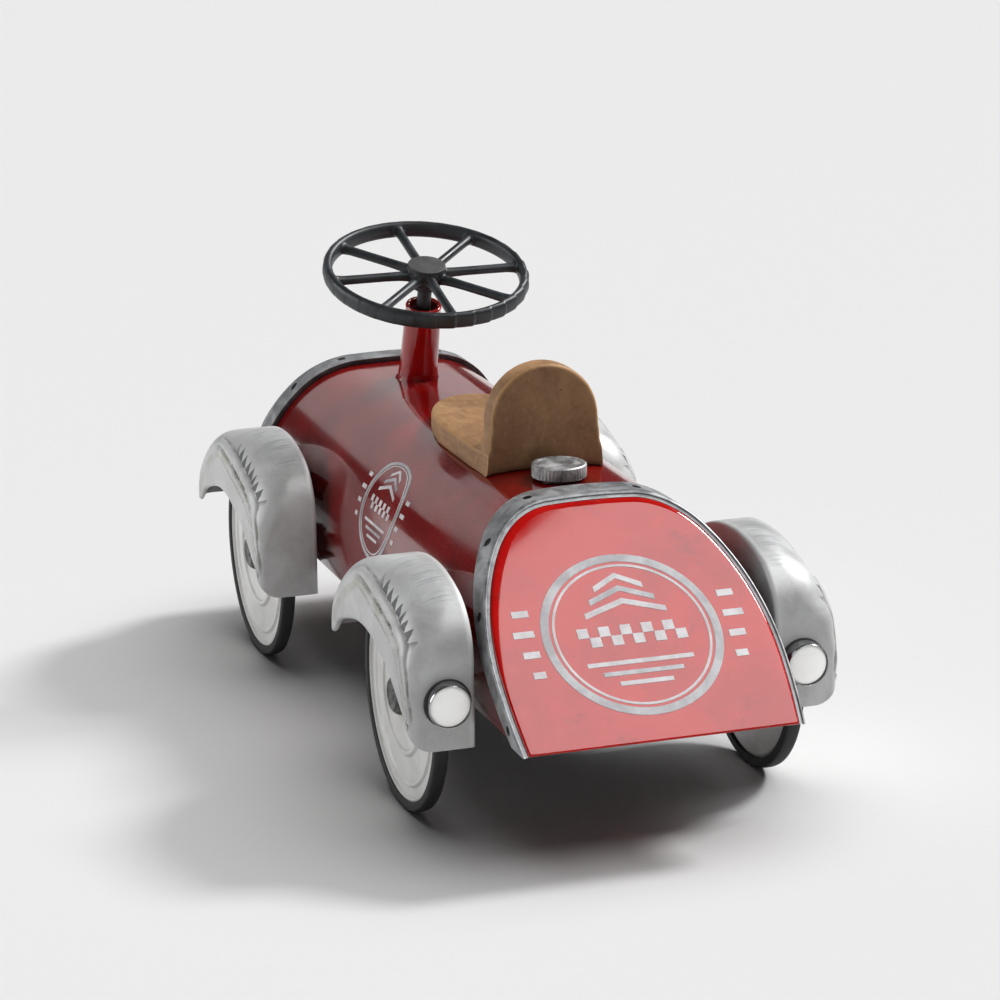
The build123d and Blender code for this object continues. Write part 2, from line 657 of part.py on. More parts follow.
def tyre(x):
    """Thin solid tyre with eased edges."""
    low, high, ease = TYRE_INNER_Y, TYRE_OUTER_Y, TYRE_EASE
    outline = [
        (TYRE_BORE_R, low), (WHEEL_R - ease, low), (WHEEL_R, low + ease),
        (WHEEL_R, high - ease), (WHEEL_R - ease, high), (TYRE_BORE_R, high),
    ]
    return turned(outline, x)


def wheel_bush(x):
    """Flanged bush that runs on the axle."""
    bore, outer = AXLE_R + RUNNING, BUSH_R - GAP / 2
    reach, thickness = BUSH_FLANGE
    step_y, end_y = BUSH_INNER_Y + thickness, HUB_CAP_Y - GAP
    outline = [
        (bore, BUSH_INNER_Y), (BUSH_R + reach, BUSH_INNER_Y), (BUSH_R + reach, step_y),
        (outer, step_y), (outer, end_y), (bore, end_y),
    ]
    return turned(outline, x)


def hub_cap(x):
    """Domed cap over the axle's end."""
    top = HUB_CAP_Y + HUB_CAP_HEIGHT
    outline = [
        (0, HUB_CAP_Y + 4), (BUSH_R, HUB_CAP_Y + 4), (BUSH_R, HUB_CAP_Y), (HUB_CAP_R, HUB_CAP_Y),
        (HUB_CAP_R, HUB_CAP_Y + 2.5), (HUB_CAP_R - 3, top - 1.2), (HUB_CAP_R - 8, top), (0, top),
    ]
    return turned(outline, x)


# Fenders

def fender_outline(inset, foot):
    """Side outline of a fender, inset evenly, with X measured from the axle."""
    back = FENDER_BACK + inset
    edges = [Line((back, foot), (back, FENDER_RISE_Z))]
    angle = -90.0
    for radius, end_angle in FENDER_ARCS:
        edges.append(JernArc(edges[-1] @ 1, edges[-1] % 1, radius - inset, angle - end_angle))
        angle = end_angle
    tip = edges[-1] @ 1
    edges.append(Line(tip, (tip.X, foot)))
    edges.append(Line((tip.X, foot), (back, foot)))
    return make_face(edges)


def fender_form(inset, foot, inner_y):
    """Solid form of a fender with a rounded outer shoulder."""
    outer_y = FENDER_OUTER_Y - inset
    plane = Plane(origin=(0, outer_y, 0), x_dir=(1, 0, 0), z_dir=(0, -1, 0))
    form = plane * extrude(fender_outline(inset, foot), outer_y - inner_y)
    shoulder = [edge for edge in form.edges()
                if abs(edge.center().Y - outer_y) < 0.01 and edge.bounding_box().max.Z > foot + 1]
    return fillet(shoulder, FENDER_SHOULDER - inset)


def wheel_opening():
    """Space cut out of the skirt, so that the wheel shows below it."""
    skirt = Spline(*WHEEL_OPENING)
    start, end = skirt @ 0, skirt @ 1
    low = FENDER_FOOT_Z - OVERRUN
    below = Polyline(end, (end.X, low), (start.X, low), start)
    plane = Plane(origin=(0, FENDER_OUTER_Y + 1, 0), x_dir=(1, 0, 0), z_dir=(0, -1, 0))
    return extrude(plane * make_face([skirt, below]), FENDER_SHOULDER)


def fender(axle_x, lamp):
    """Thin left fender over one wheel, open below, with a short wall beside the body."""
    shape = fender_form(0, FENDER_FOOT_Z, FENDER_INNER_Y)
    hollow = fender_form(SHEET, FENDER_FOOT_Z - OVERRUN, FENDER_INNER_Y - OVERRUN)
    along = (-LENGTH, LENGTH)
    shape -= hollow & block(along, (FENDER_INNER_Y + SHEET, LENGTH), (0, LENGTH))
    shape -= hollow & block(along, (0, LENGTH), (0, FENDER_WALL_Z))
    shape -= block((0, LENGTH), (0, LENGTH), (0, FENDER_TIP_Z))
    shape -= wheel_opening()
    shape = round_foot(shape)
    for x in wall_bolt_places():
        shape -= crosswise(SMALL_BOLT_R + GAP, x, wall_bolt_z(), 0, FENDER_INNER_Y + OVERRUN)
    if lamp:
        shape -= rod(SMALL_BOLT_R + GAP, (-LENGTH, LAMP_Y, LAMP_Z), (0, LAMP_Y, LAMP_Z))
    return Pos(axle_x, 0, 0) * shape


def round_foot(shape):
    """Round the outer lower corner of the fender's back."""
    radius = FENDER_CORNER
    y, z = FENDER_OUTER_Y - radius, FENDER_FOOT_Z + radius
    start, end = FENDER_BACK - 1, FENDER_BACK + 2 * radius
    corner = block((start, end), (y, y + radius + 1), (z - radius - 1, z))
    return shape - (corner - rod(radius, (start, y, z), (end, y, z)))


def stay_bolt_planes():
    """Outward planes on the body's sides, at the bolts that hold the fender stays."""
    planes = []
    for axle_x in (REAR_AXLE_X, FRONT_AXLE_X):
        for offset in STAY_X:
            for side in (-1, 1):
                y, z, out_y, out_z = outline_point(side * STAY_ANGLE, GAP)
                origin = (axle_x + offset + STAY_FLANGE / 2, y, z)
                planes.append(Plane(origin=origin, z_dir=(0, out_y, out_z)))
    return planes


def wall_bolt_places():
    """X of the bolts through a fender's wall, measured from the axle."""
    return [offset + STAY_PLATE - STAY_FLANGE / 2 for offset in STAY_X]


def wall_bolt_z():
    """Height of the bolts through the fenders' walls."""
    return outline_point(STAY_ANGLE, GAP)[1]


def fender_stays():
    """Folded plates between the body and the fenders, with a flange on each."""
    body = barrel(*far_ends(), GAP)
    skin = barrel(*far_ends(), GAP + STAY_PLATE) - body
    wall_y = FENDER_INNER_Y - GAP
    solids = []
    for axle_x in (REAR_AXLE_X, FRONT_AXLE_X):
        for offset in STAY_X:
            start = axle_x + offset
            web_end = start + STAY_PLATE
            stay = block((start, web_end), (FLOOR_HALF_WIDTH, wall_y), STAY_Z) - body
            stay += skin & block((start, start + STAY_FLANGE), (0, wall_y), STAY_Z)
            stay += block((web_end - STAY_FLANGE, web_end), (wall_y - STAY_PLATE, wall_y), STAY_Z)
            bolt_x = web_end - STAY_FLANGE / 2
            stay -= crosswise(SMALL_BOLT_R + GAP, bolt_x, wall_bolt_z(), FLOOR_HALF_WIDTH, FENDER_OUTER_Y)
            for plane in stay_bolt_planes():
                stay -= plane * Pos(0, 0, -OVERRUN) * extrude(Circle(SMALL_BOLT_R + GAP), 2 * OVERRUN)
            solids += both_sides(stay).solids()
    return Compound(solids)


def fender_bolts():
    """Bolts that hold the stays to the body and to the fenders' walls."""
    bolts = []
    for plane in stay_bolt_planes():
        bolt = Pos(0, 0, -BOLT_DEPTH) * extrude(Circle(SMALL_BOLT_R), BOLT_DEPTH + STAY_PLATE + SMALL_HEAD)
        bolt += Pos(0, 0, STAY_PLATE + GAP) * extrude(Circle(SMALL_HEAD_R), SMALL_HEAD)
        bolts += (plane * bolt).solids()
    tip = FENDER_INNER_Y - GAP - STAY_PLATE - 1
    seat = FENDER_INNER_Y + SHEET + GAP
    for axle_x in (REAR_AXLE_X, FRONT_AXLE_X):
        for x in wall_bolt_places():
            bolt = crosswise(SMALL_BOLT_R, axle_x + x, wall_bolt_z(), tip, seat + SMALL_HEAD)
            bolt += crosswise(SMALL_HEAD_R, axle_x + x, wall_bolt_z(), seat, seat + SMALL_HEAD)
            bolts += both_sides(bolt).solids()
    return Compound(bolts)


# Lamps

def lamp_bar(side, radius, near, far):
    """Round bar on the lamp's axis, between two distances behind the fender's face."""
    face_x = REAR_AXLE_X + FENDER_BACK
    y = side * LAMP_Y
    return rod(radius, (face_x - near, y, LAMP_Z), (face_x - far, y, LAMP_Z))


def lamp_parts(side):
    """Gasket, housing, lens and screw of the lamp on one side's rear fender."""
    reach, base = GASKET
    hole = lamp_bar(side, SMALL_BOLT_R + GAP, -OVERRUN, OVERRUN)
    gasket = lamp_bar(side, LAMP_R + reach, 0, base) - hole
    housing = lamp_bar(side, LAMP_R, base, LAMP_DEPTH) - hole
    housing -= lamp_bar(side, LENS_R + GAP, LENS_SEAT - 2 * GAP, LAMP_DEPTH + OVERRUN)
    centre_x = REAR_AXLE_X + FENDER_BACK - LENS_SEAT - LENS_RISE + LENS_SPHERE_R
    dome = Pos(centre_x, side * LAMP_Y, LAMP_Z) * Sphere(LENS_SPHERE_R)
    lens = dome & lamp_bar(side, LENS_R, LENS_SEAT, LENS_SEAT + OVERRUN)
    head_seat = -SHEET - GAP
    screw = lamp_bar(side, SMALL_BOLT_R, head_seat - SMALL_HEAD, LENS_SEAT - 3 * GAP)
    screw += lamp_bar(side, SMALL_HEAD_R, head_seat - SMALL_HEAD, head_seat)
    return gasket, housing, lens, screw


# Seat and filler

def seat_bolt_places():
    """X of the bolts that hold the seat from inside the body."""
    return [SEAT_BACK_X + distance for distance in SEAT_BOLTS]


def seat_pan():
    """Flat pan with a rounded front."""
    straight = SEAT_LENGTH - SEAT_FRONT
    outline = Pos(straight / 2, 0) * Rectangle(straight, 2 * SEAT_HALF_WIDTH)
    front = Pos(SEAT_FRONT / 2, 0) * Rectangle(SEAT_FRONT, 2 * SEAT_HALF_WIDTH)
    outline += Pos(straight, 0) * (Ellipse(SEAT_FRONT, SEAT_HALF_WIDTH) & front)
    return Pos(SEAT_BACK_X, 0, SEAT_BASE_Z) * extrude(outline, SEAT_TOP_Z - SEAT_BASE_Z)


def backrest():
    """Upright plate with a round top and a wider foot."""
    centre_z = BACKREST_TOP_Z - BACKREST_R
    corners = ((-BACKREST_FOOT, SEAT_BASE_Z), (BACKREST_FOOT, SEAT_BASE_Z),
               (BACKREST_R, centre_z), (-BACKREST_R, centre_z))
    outline = Pos(0, centre_z) * Circle(BACKREST_R) + make_face(Polyline(*corners, close=True))
    return Pos(SEAT_BACK_X, 0, 0) * extrude(Plane.YZ * outline, BACKREST_THICKNESS)


def seat_bend():
    """Concave bend between the pan and the backrest."""
    back = SEAT_BACK_X + 1
    low, high = SEAT_TOP_Z - 1, SEAT_TOP_Z + SEAT_FILLET
    face_x = SEAT_BACK_X + BACKREST_THICKNESS
    end_x = face_x + SEAT_FILLET
    points = [(back, low), (end_x, low), (end_x, SEAT_TOP_Z), (face_x, high), (back, high)]
    bend = side_prism(points, -BACKREST_R, BACKREST_R)
    return bend - crosswise(SEAT_FILLET, end_x, high, -SEAT_HALF_WIDTH, SEAT_HALF_WIDTH)


def seat():
    """One moulded piece that sits on the body's crown."""
    shape = seat_pan() + backrest() + seat_bend()
    shape -= barrel(*far_ends(), GAP)
    for x in seat_bolt_places():
        shape -= upright(BOLT_R + GAP, x, 0, 0, SEAT_TOP_Z - SEAT_THREAD + 1)
    return shape


def seat_bolts():
    """Bolts that go up into the seat, with heads inside the body."""
    seat_z = BODY_TOP - SHEET - GAP
    bolts = []
    for x in seat_bolt_places():
        bolt = upright(BOLT_R, x, 0, seat_z - BOLT_HEAD, SEAT_TOP_Z - SEAT_THREAD)
        bolts.append(bolt + upright(BOLT_HEAD_R, x, 0, seat_z - BOLT_HEAD, seat_z))
    return Compound([bolt.solid() for bolt in bolts])


def filler_neck():
    """Short collar on the body that the cap turns on."""
    neck = upright(NECK_R, CAP_X, 0, BODY_TOP + GAP / 4, CAP_Z[1] - NECK_TOP)
    return neck - upright(NECK_R - NECK_WALL, CAP_X, 0, 0, 2 * BODY_TOP)


def fuel_cap():
    """Round cap with a dished top."""
    cap = upright(CAP_R, CAP_X, 0, *CAP_Z)
    cap -= upright(NECK_R + RUNNING, CAP_X, 0, 0, CAP_Z[1] - CAP_TOP)
    radius, depth, rim = CAP_DISH
    dish = Pos(CAP_X, 0, CAP_Z[1] - depth + radius) * Sphere(radius)
    return cap - (dish & upright(CAP_R - rim, CAP_X, 0, 0, 2 * BODY_TOP))


def every_part():
    """Every sub-part, by node name."""
    parts = {
        "body_shell": body_shell(),
        "rear_panel": end_panel(rear_x),
        "front_panel": front_panel(),
        "grille": grille(),
        "rear_trim": trim(rear_x, REAR_TRIM),
        "front_trim": trim(front_x, FRONT_TRIM),
        "rear_trim_screws": trim_screws(rear_x),
        "front_trim_screws": trim_screws(front_x),
        "floor_pan": floor_pan(),
        "chassis_bolts": chassis_bolts(),
        "rear_axle": rear_axle(),
        "rear_axle_hangers": rear_axle_hangers(),
        "rear_axle_spacers": rear_axle_spacers(),
        "front_axle_beam": front_axle_beam(),
        "kingpins": kingpins(),
        "knuckle_left": knuckle(),
        "knuckle_right": mirrored(knuckle()),
        "tie_rod": tie_rod(),
        "tie_rod_pins": tie_rod_pins(),
        "column_tube": column_tube(),
        "column_bush": column_bush(),
        "shaft_bearing": shaft_bearing(),
        "steering_shaft": steering_shaft(),
        "steering_wheel": steering_wheel(),
        "steering_nut": steering_nut(),
        "steering_wheel_cap": steering_wheel_cap(),
        "fender_stays": fender_stays(),
        "fender_bolts": fender_bolts(),
        "seat": seat(),
        "seat_bolts": seat_bolts(),
        "filler_neck": filler_neck(),
        "fuel_cap": fuel_cap(),
    }
    for end, x in (("rear", REAR_AXLE_X), ("front", FRONT_AXLE_X)):
        left = {
            "fender": fender(x, end == "rear"),
            "wheel_disc": wheel_disc(x),
            "tyre": tyre(x),
            "wheel_bush": wheel_bush(x),
            "hub_cap": hub_cap(x),
        }
        for name, shape in left.items():
            parts[f"{name}_{end}_left"] = shape
            parts[f"{name}_{end}_right"] = mirrored(shape)
    lamps = {name: lamp_parts(side) for name, side in (("left", 1), ("right", -1))}
    for name, (_, housing, lens, _) in lamps.items():
        parts[f"lamp_housing_{name}"] = housing
        parts[f"lamp_lens_{name}"] = lens
    parts["lamp_gaskets"] = Compound([lamp[0].solid() for lamp in lamps.values()])
    parts["lamp_screws"] = Compound([lamp[3].solid() for lamp in lamps.values()])
    return parts


os.makedirs("parts", exist_ok=True)
for node, shape in every_part().items():
    export_step(shape, f"parts/{node}.step")
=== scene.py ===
"""Looks of the ride-on car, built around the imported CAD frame. Lengths in the code are millimetres."""

import json
from math import acos, asin, cos, hypot, pi, radians, sin

import bmesh
import bpy
import numpy as np
from mathutils import Matrix, Vector

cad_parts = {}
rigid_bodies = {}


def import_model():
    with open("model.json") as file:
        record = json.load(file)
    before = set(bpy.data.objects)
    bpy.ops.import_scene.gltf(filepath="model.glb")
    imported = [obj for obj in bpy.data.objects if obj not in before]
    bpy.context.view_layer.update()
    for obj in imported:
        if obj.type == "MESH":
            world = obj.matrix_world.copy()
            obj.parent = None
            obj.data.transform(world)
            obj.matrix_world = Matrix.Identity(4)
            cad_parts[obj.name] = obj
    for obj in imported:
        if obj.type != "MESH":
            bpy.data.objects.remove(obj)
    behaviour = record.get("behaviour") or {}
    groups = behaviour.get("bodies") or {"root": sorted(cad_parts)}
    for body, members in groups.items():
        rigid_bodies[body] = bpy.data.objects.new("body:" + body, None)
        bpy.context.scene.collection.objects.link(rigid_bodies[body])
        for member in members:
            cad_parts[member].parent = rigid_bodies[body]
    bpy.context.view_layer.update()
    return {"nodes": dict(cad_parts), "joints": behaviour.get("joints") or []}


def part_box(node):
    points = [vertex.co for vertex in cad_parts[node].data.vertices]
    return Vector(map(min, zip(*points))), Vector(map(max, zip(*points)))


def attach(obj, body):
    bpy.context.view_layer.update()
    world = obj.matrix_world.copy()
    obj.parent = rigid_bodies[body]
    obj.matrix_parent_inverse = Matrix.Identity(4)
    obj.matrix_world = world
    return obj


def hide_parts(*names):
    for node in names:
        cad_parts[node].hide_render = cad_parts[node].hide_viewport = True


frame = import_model()

MM = 0.001
BODIES_OF_WHEELS = [("rear", "left"), ("rear", "right"), ("front", "left"), ("front", "right")]


def lengths(points):
    """Distance along a polyline at each of its points."""
    return np.concatenate([[0], np.cumsum(np.linalg.norm(np.diff(points, axis=0), axis=1))])


def smooth_step(value, low, high):
    t = np.clip((value - low) / (high - low), 0, 1)
    return t * t * (3 - 2 * t)


def circle(count):
    return np.linspace(0, 2 * pi, count, endpoint=False)


def spun(radius, height, angle):
    """Points at radii and heights round Z."""
    return np.stack([radius * np.cos(angle), radius * np.sin(angle), height + 0 * angle], -1)


def box(node):
    """Lowest and highest corner of a CAD node, in millimetres."""
    low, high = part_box(node)
    return np.array(low) / MM, np.array(high) / MM


# ---------------------------------------------------------------- meshes

class Skin:
    """Collects grids of points and welds them into one mesh."""

    def __init__(self):
        self.points = []
        self.faces = []
        self.values = {}
        self.count = 0

    def grid(self, points, wrap_rows=False, wrap_columns=False, **values):
        """Adds quads over points[row][column]; values are numbers stored at each point."""
        points = np.asarray(points, float)
        rows, columns = points.shape[:2]
        start = self.count
        self.points.append(points.reshape(-1, 3))
        self.count += rows * columns
        for name, value in values.items():
            flat = np.broadcast_to(value, (rows, columns)).reshape(-1)
            self.values.setdefault(name, []).append((start, flat))
        for i in range(rows if wrap_rows else rows - 1):
            for j in range(columns if wrap_columns else columns - 1):
                i2, j2 = (i + 1) % rows, (j + 1) % columns
                corners = (i * columns + j, i2 * columns + j, i2 * columns + j2, i * columns + j2)
                self.faces.append([start + c for c in corners])

    def caps(self, rings):
        """Closes both ends of a run of rings with fans."""
        for ring in (rings[0], rings[-1]):
            self.grid([ring, np.repeat(ring.mean(0)[None], len(ring), 0)], wrap_columns=True)

    def build(self, name, place=None, weld=0.002, sharp=32.0, mirror=False):
        """Makes the object. place is an optional matrix, in millimetres."""
        points = np.concatenate(self.points)
        if mirror:
            points = points * (1, -1, 1)
        mesh = bpy.data.meshes.new(name)
        mesh.from_pydata(points.tolist(), [], self.faces)
        for key, parts in self.values.items():
            data = np.zeros(len(points), np.float32)
            for start, flat in parts:
                data[start:start + len(flat)] = flat
            mesh.attributes.new(key, "FLOAT", "POINT").data.foreach_set("value", data)
        work = bmesh.new()
        work.from_mesh(mesh)
        bmesh.ops.remove_doubles(work, verts=work.verts, dist=weld)
        bmesh.ops.dissolve_degenerate(work, edges=work.edges, dist=weld / 2)
        bmesh.ops.recalc_face_normals(work, faces=work.faces)
        work.to_mesh(mesh)
        work.free()
        if place is not None:
            mesh.transform(place)
        mesh.transform(Matrix.Scale(MM, 4))
        return finished(name, mesh, sharp)


def finished(name, mesh, sharp=32.0):
    """Object with smooth shading and sharp edges where the surface turns by more than sharp."""
    mesh.polygons.foreach_set("use_smooth", [True] * len(mesh.polygons))
    mesh.set_sharp_from_angle(angle=radians(sharp))
    mesh.update()
    obj = bpy.data.objects.new(name, mesh)
    bpy.context.scene.collection.objects.link(obj)
    return obj


def coat(obj, material):
    obj.data.materials.clear()
    obj.data.materials.append(material)


def stand_in(obj, body, material, slot, *nodes):
    """Puts a new piece on its body, with its material and the CAD nodes that it replaces."""
    coat(obj, material)
    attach(obj, body)
    if nodes:
        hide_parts(*nodes)


def vertex_places(mesh):
    """Vertices as rows of X, Y, Z, in metres."""
    places = np.zeros(len(mesh.vertices) * 3)
    mesh.vertices.foreach_get("co", places)
    return places.reshape(-1, 3)


def lathe(name, body, material, slot, node, place, profile, segments=96, sharp=40, closed=True, wobble=None):
    """Piece turned from a profile, in place of a CAD node."""
    skin = turned(profile, segments, closed, wobble)
    stand_in(skin.build(name, place, sharp=sharp), body, material, slot, node)


def rounded(points, radii, steps=4, closed=False):
    """Polyline with its corners rounded. radii is one number, or one for each point."""
    points = [np.array(p, float) for p in points]
    count = len(points)
    radii = [radii] * count if np.isscalar(radii) else list(radii)
    out = []
    for i, point in enumerate(points):
        if radii[i] <= 0 or (not closed and i in (0, count - 1)):
            out.append(point)
            continue
        before, after = points[i - 1] - point, points[(i + 1) % count] - point
        lengths = np.linalg.norm(before), np.linalg.norm(after)
        before, after = before / lengths[0], after / lengths[1]
        turn = pi - acos(max(-1.0, min(1.0, float(before @ after))))
        reach = min(radii[i] * np.tan(turn / 2), 0.48 * min(lengths))
        a, b = point + before * reach, point + after * reach
        for s in np.linspace(0, 1, steps + 1):
            out.append((1 - s) ** 2 * a + 2 * s * (1 - s) * point + s ** 2 * b)
    return np.array(out)


def turned(profile, segments=96, closed=False, wobble=None):
    """Grid of a (radius, height) profile turned about Z; wobble(radius, height, angle) changes the radius."""
    profile = np.asarray(profile, float)
    angle = circle(segments)
    radius, height = [np.repeat(profile[:, k:k + 1], segments, 1) for k in (0, 1)]
    if wobble:
        radius = wobble(radius, height, angle[None, :])
    skin = Skin()
    skin.grid(spun(radius, height, angle), wrap_rows=closed, wrap_columns=True)
    return skin


def axis_place(origin, axis, x_hint=(1, 0, 0)):
    """Matrix that carries Z to an axis and zero to a point, in millimetres."""
    z = Vector(axis).normalized()
    x = (Vector(x_hint) - z * z.dot(Vector(x_hint))).normalized()
    y = z.cross(x)
    return Matrix(((x.x, y.x, z.x, origin[0]), (x.y, y.y, z.y, origin[1]),
                   (x.z, y.z, z.z, origin[2]), (0, 0, 0, 1)))


def remeshed(obj, voxel, smooth=0):
    """Fuses a mesh into one even skin, then evens it out."""
    modifier = obj.modifiers.new("fuse", "REMESH")
    modifier.mode = "VOXEL"
    modifier.voxel_size = voxel * MM
    if smooth:
        modifier = obj.modifiers.new("even", "SMOOTH")
        modifier.iterations = smooth
    graph = bpy.context.evaluated_depsgraph_get()
    mesh = bpy.data.meshes.new_from_object(obj.evaluated_get(graph))
    mesh.name = obj.name
    obj.modifiers.clear()
    obj.data = mesh
    mesh.polygons.foreach_set("use_smooth", [True] * len(mesh.polygons))
    return obj


# ---------------------------------------------------------------- materials

class Surface:
    """One procedural material, with short calls for its nodes."""

    def __init__(self, name):
        self.material = bpy.data.materials.new(name)
        self.material.use_nodes = True
        self.tree = self.material.node_tree
        self.shader = next(n for n in self.tree.nodes if n.type == "BSDF_PRINCIPLED")
        self.place = self.node("ShaderNodeTexCoord").outputs["Object"]

    def node(self, kind, **settings):
        node = self.tree.nodes.new(kind)
        for key, value in settings.items():
            setattr(node, key, value)
        return node

    def link(self, value, socket):
        """Gives a socket a node's output, a number or a display colour."""
        if hasattr(value, "is_output"):
            self.tree.links.new(value, socket)
        else:
            socket.default_value = linear(value) if isinstance(value, str) else value

    def math(self, operation, a, b=0.0):
        node = self.node("ShaderNodeMath", operation=operation)
        self.link(a, node.inputs[0])
        self.link(b, node.inputs[1])
        return node.outputs[0]

    def times(self, a, b, *more):
        """Product of two or more values."""
        product = self.math("MULTIPLY", a, b)
        return self.times(product, *more) if more else product

    def plus(self, a, b):
        return self.math("ADD", a, b)

    def noise(self, size, detail=4.0, roughness=0.55, distortion=0.0, stretch=None, place=None):
        """Noise whose features are about size millimetres across."""
        place = place or self.place
        if stretch:
            mapping = self.node("ShaderNodeMapping")
            self.link(place, mapping.inputs["Vector"])
            mapping.inputs["Scale"].default_value = stretch
            place = mapping.outputs[0]
        node = self.node("ShaderNodeTexNoise")
        self.link(place, node.inputs["Vector"])
        node.inputs["Scale"].default_value = 1 / (size * MM)
        node.inputs["Detail"].default_value = detail
        node.inputs["Roughness"].default_value = roughness
        node.inputs["Distortion"].default_value = distortion
        return node.outputs[0]

    def span(self, value, low, high, to_low=0.0, to_high=1.0):
        """Smooth step from low to high."""
        node = self.node("ShaderNodeMapRange", interpolation_type="SMOOTHSTEP")
        for socket, item in zip(node.inputs, (value, low, high, to_low, to_high)):
            self.link(item, socket)
        return node.outputs[0]

    def mix(self, share, a, b):
        """Colour between a and b."""
        node = self.node("ShaderNodeMix", data_type="RGBA")
        self.link(share, node.inputs["Factor"])
        self.link(a, node.inputs["A"])
        self.link(b, node.inputs["B"])
        return next(s for s in node.outputs if s.type == "RGBA")

    def tint(self, colour, other, where, strength=None):
        """Colour with another laid over it where a value is 1, at a strength."""
        return self.mix(where if strength is None else self.times(where, strength), colour, other)

    def edges(self, radius):
        """1 along convex and concave edges, from a bevelled normal."""
        bevel = self.node("ShaderNodeBevel", samples=4)
        bevel.inputs["Radius"].default_value = radius * MM
        geometry = self.node("ShaderNodeNewGeometry")
        dot = self.node("ShaderNodeVectorMath", operation="DOT_PRODUCT")
        self.link(bevel.outputs[0], dot.inputs[0])
        self.link(geometry.outputs["Normal"], dot.inputs[1])
        return self.span(self.math("SUBTRACT", 1.0, dot.outputs["Value"]), 0.02, 0.25)

    def hollows(self, distance):
        """1 in corners and gaps, 0 on open surfaces."""
        node = self.node("ShaderNodeAmbientOcclusion", samples=4, only_local=False)
        node.inputs["Distance"].default_value = distance * MM
        return self.span(node.outputs["AO"], 0.95, 0.4)

    def value(self, name):
        """A number stored at the mesh's points."""
        return self.node("ShaderNodeAttribute", attribute_name=name).outputs["Fac"]

    def bump(self, height, depth, strength):
        """Bump whose height runs over depth millimetres."""
        node = self.node("ShaderNodeBump")
        node.inputs["Strength"].default_value = strength
        node.inputs["Distance"].default_value = depth * MM
        self.link(height, node.inputs["Height"])
        self.link(node.outputs[0], self.shader.inputs["Normal"])

    def set(self, **inputs):
        """Sets or links inputs of the shader; names use _ for spaces."""
        for key, value in inputs.items():
            self.link(value, self.shader.inputs[key.replace("_", " ")])
        return self.material


def linear(display):
    """Linear colour from a display colour, such as #b0b2b4."""
    values = [int(display[i:i + 2], 16) / 255 for i in (1, 3, 5)]
    return (*(v / 12.92 if v <= 0.04045 else ((v + 0.055) / 1.055) ** 2.4 for v in values), 1.0)


def red_enamel(name, dark, light, streak, gloss=1.0):
    """Glossy red enamel, dusty in streaks along one direction, with fine specks, painted shade in the hollows
    and a painted highlight along the edges.
    """
    s = Surface(name)
    cloud = s.noise(70, 5, 0.6)
    fine = s.noise(6, 5, 0.65)
    dust = s.noise(26, 8, 0.72, 0.6, stretch=streak)
    patch = s.noise(48, 7, 0.7, 0.4)
    speck = s.noise(1.6, 2, 0.5)
    colour = s.mix(s.span(cloud, 0.35, 0.65), dark, light)
    colour = s.tint(colour, "#600304", s.span(patch, 0.56, 0.7, 0.0, 0.35))
    worn = s.times(s.span(dust, 0.5, 0.78), s.span(fine, 0.3, 0.7))
    colour = s.tint(colour, "#b07874", worn, 0.14)
    colour = s.tint(colour, "#3c0808", s.span(speck, 0.72, 0.78), 0.5)
    # Painted shade in the hollows, and a painted highlight of paler red along every edge.
    colour = s.tint(colour, "#320304", s.hollows(14), 0.5)
    colour = s.tint(colour, "#b43c32", s.edges(0.8), 0.5)
    # A lower gloss number is a smoother coat.
    dusty = s.span(dust, 0.35, 0.75, 0.1 * gloss, 0.26 * gloss)
    s.bump(s.plus(fine, s.times(dust, 0.8)), 0.08 * gloss ** 3, 0.5)
    return s.set(Base_Color=colour, Roughness=s.plus(dusty, s.span(fine, 0.3, 0.7, 0.0, 0.05 * gloss)),
                 Specular_IOR_Level=0.5, Coat_Weight=0.5,
                 Coat_Roughness=s.span(dust, 0.3, 0.75, 0.02, 0.14 * gloss))


def painted(name, light, dark, rough, cloud_size, edge=None, hollow_shade=None, metallic=0.0, bump=0.06,
            speck=None, coat=0.0):
    """Paint or metal: clouded colour, fine grain, worn edges and painted shade in the hollows."""
    s = Surface(name)
    cloud = s.noise(cloud_size, 6, 0.62, 0.3)
    fine = s.noise(3.0, 5, 0.6)
    colour = s.mix(s.span(cloud, 0.32, 0.68), dark, light)
    colour = s.tint(colour, dark, s.span(fine, 0.45, 0.85, 0.0, 0.35))
    if speck:
        colour = s.tint(colour, speck, s.span(s.noise(1.4, 2, 0.5), 0.68, 0.76), 0.6)
    # Painted shade in the hollows.
    if hollow_shade:
        colour = s.tint(colour, hollow_shade, s.hollows(10), 0.7)
    if edge:
        colour = s.tint(colour, edge, s.edges(1.0), s.span(s.noise(7, 5, 0.7), 0.38, 0.6))
    s.bump(s.plus(fine, cloud), bump, 0.6)
    return s.set(Base_Color=colour, Roughness=s.span(cloud, 0.3, 0.7, *rough), Metallic=metallic,
                 Coat_Weight=coat, Coat_Roughness=0.2)


# One red paint in three copies: the body's copy is darker as painted shade, the panels' copy is lighter as
# painted light, and the column's copy lies between.
RED_BODY_SHADED = red_enamel("red_enamel_body_shaded", "#6e0305", "#880708", (0.22, 1.4, 1.4), 0.8)
RED_COLUMN = red_enamel("red_enamel_column", "#8c0506", "#a00909", (1.2, 1.2, 0.3))
RED_PANEL_LIT = red_enamel("red_enamel_panel_lit", "#b20807", "#c40f0b", (1.0, 0.6, 1.0), 0.35)
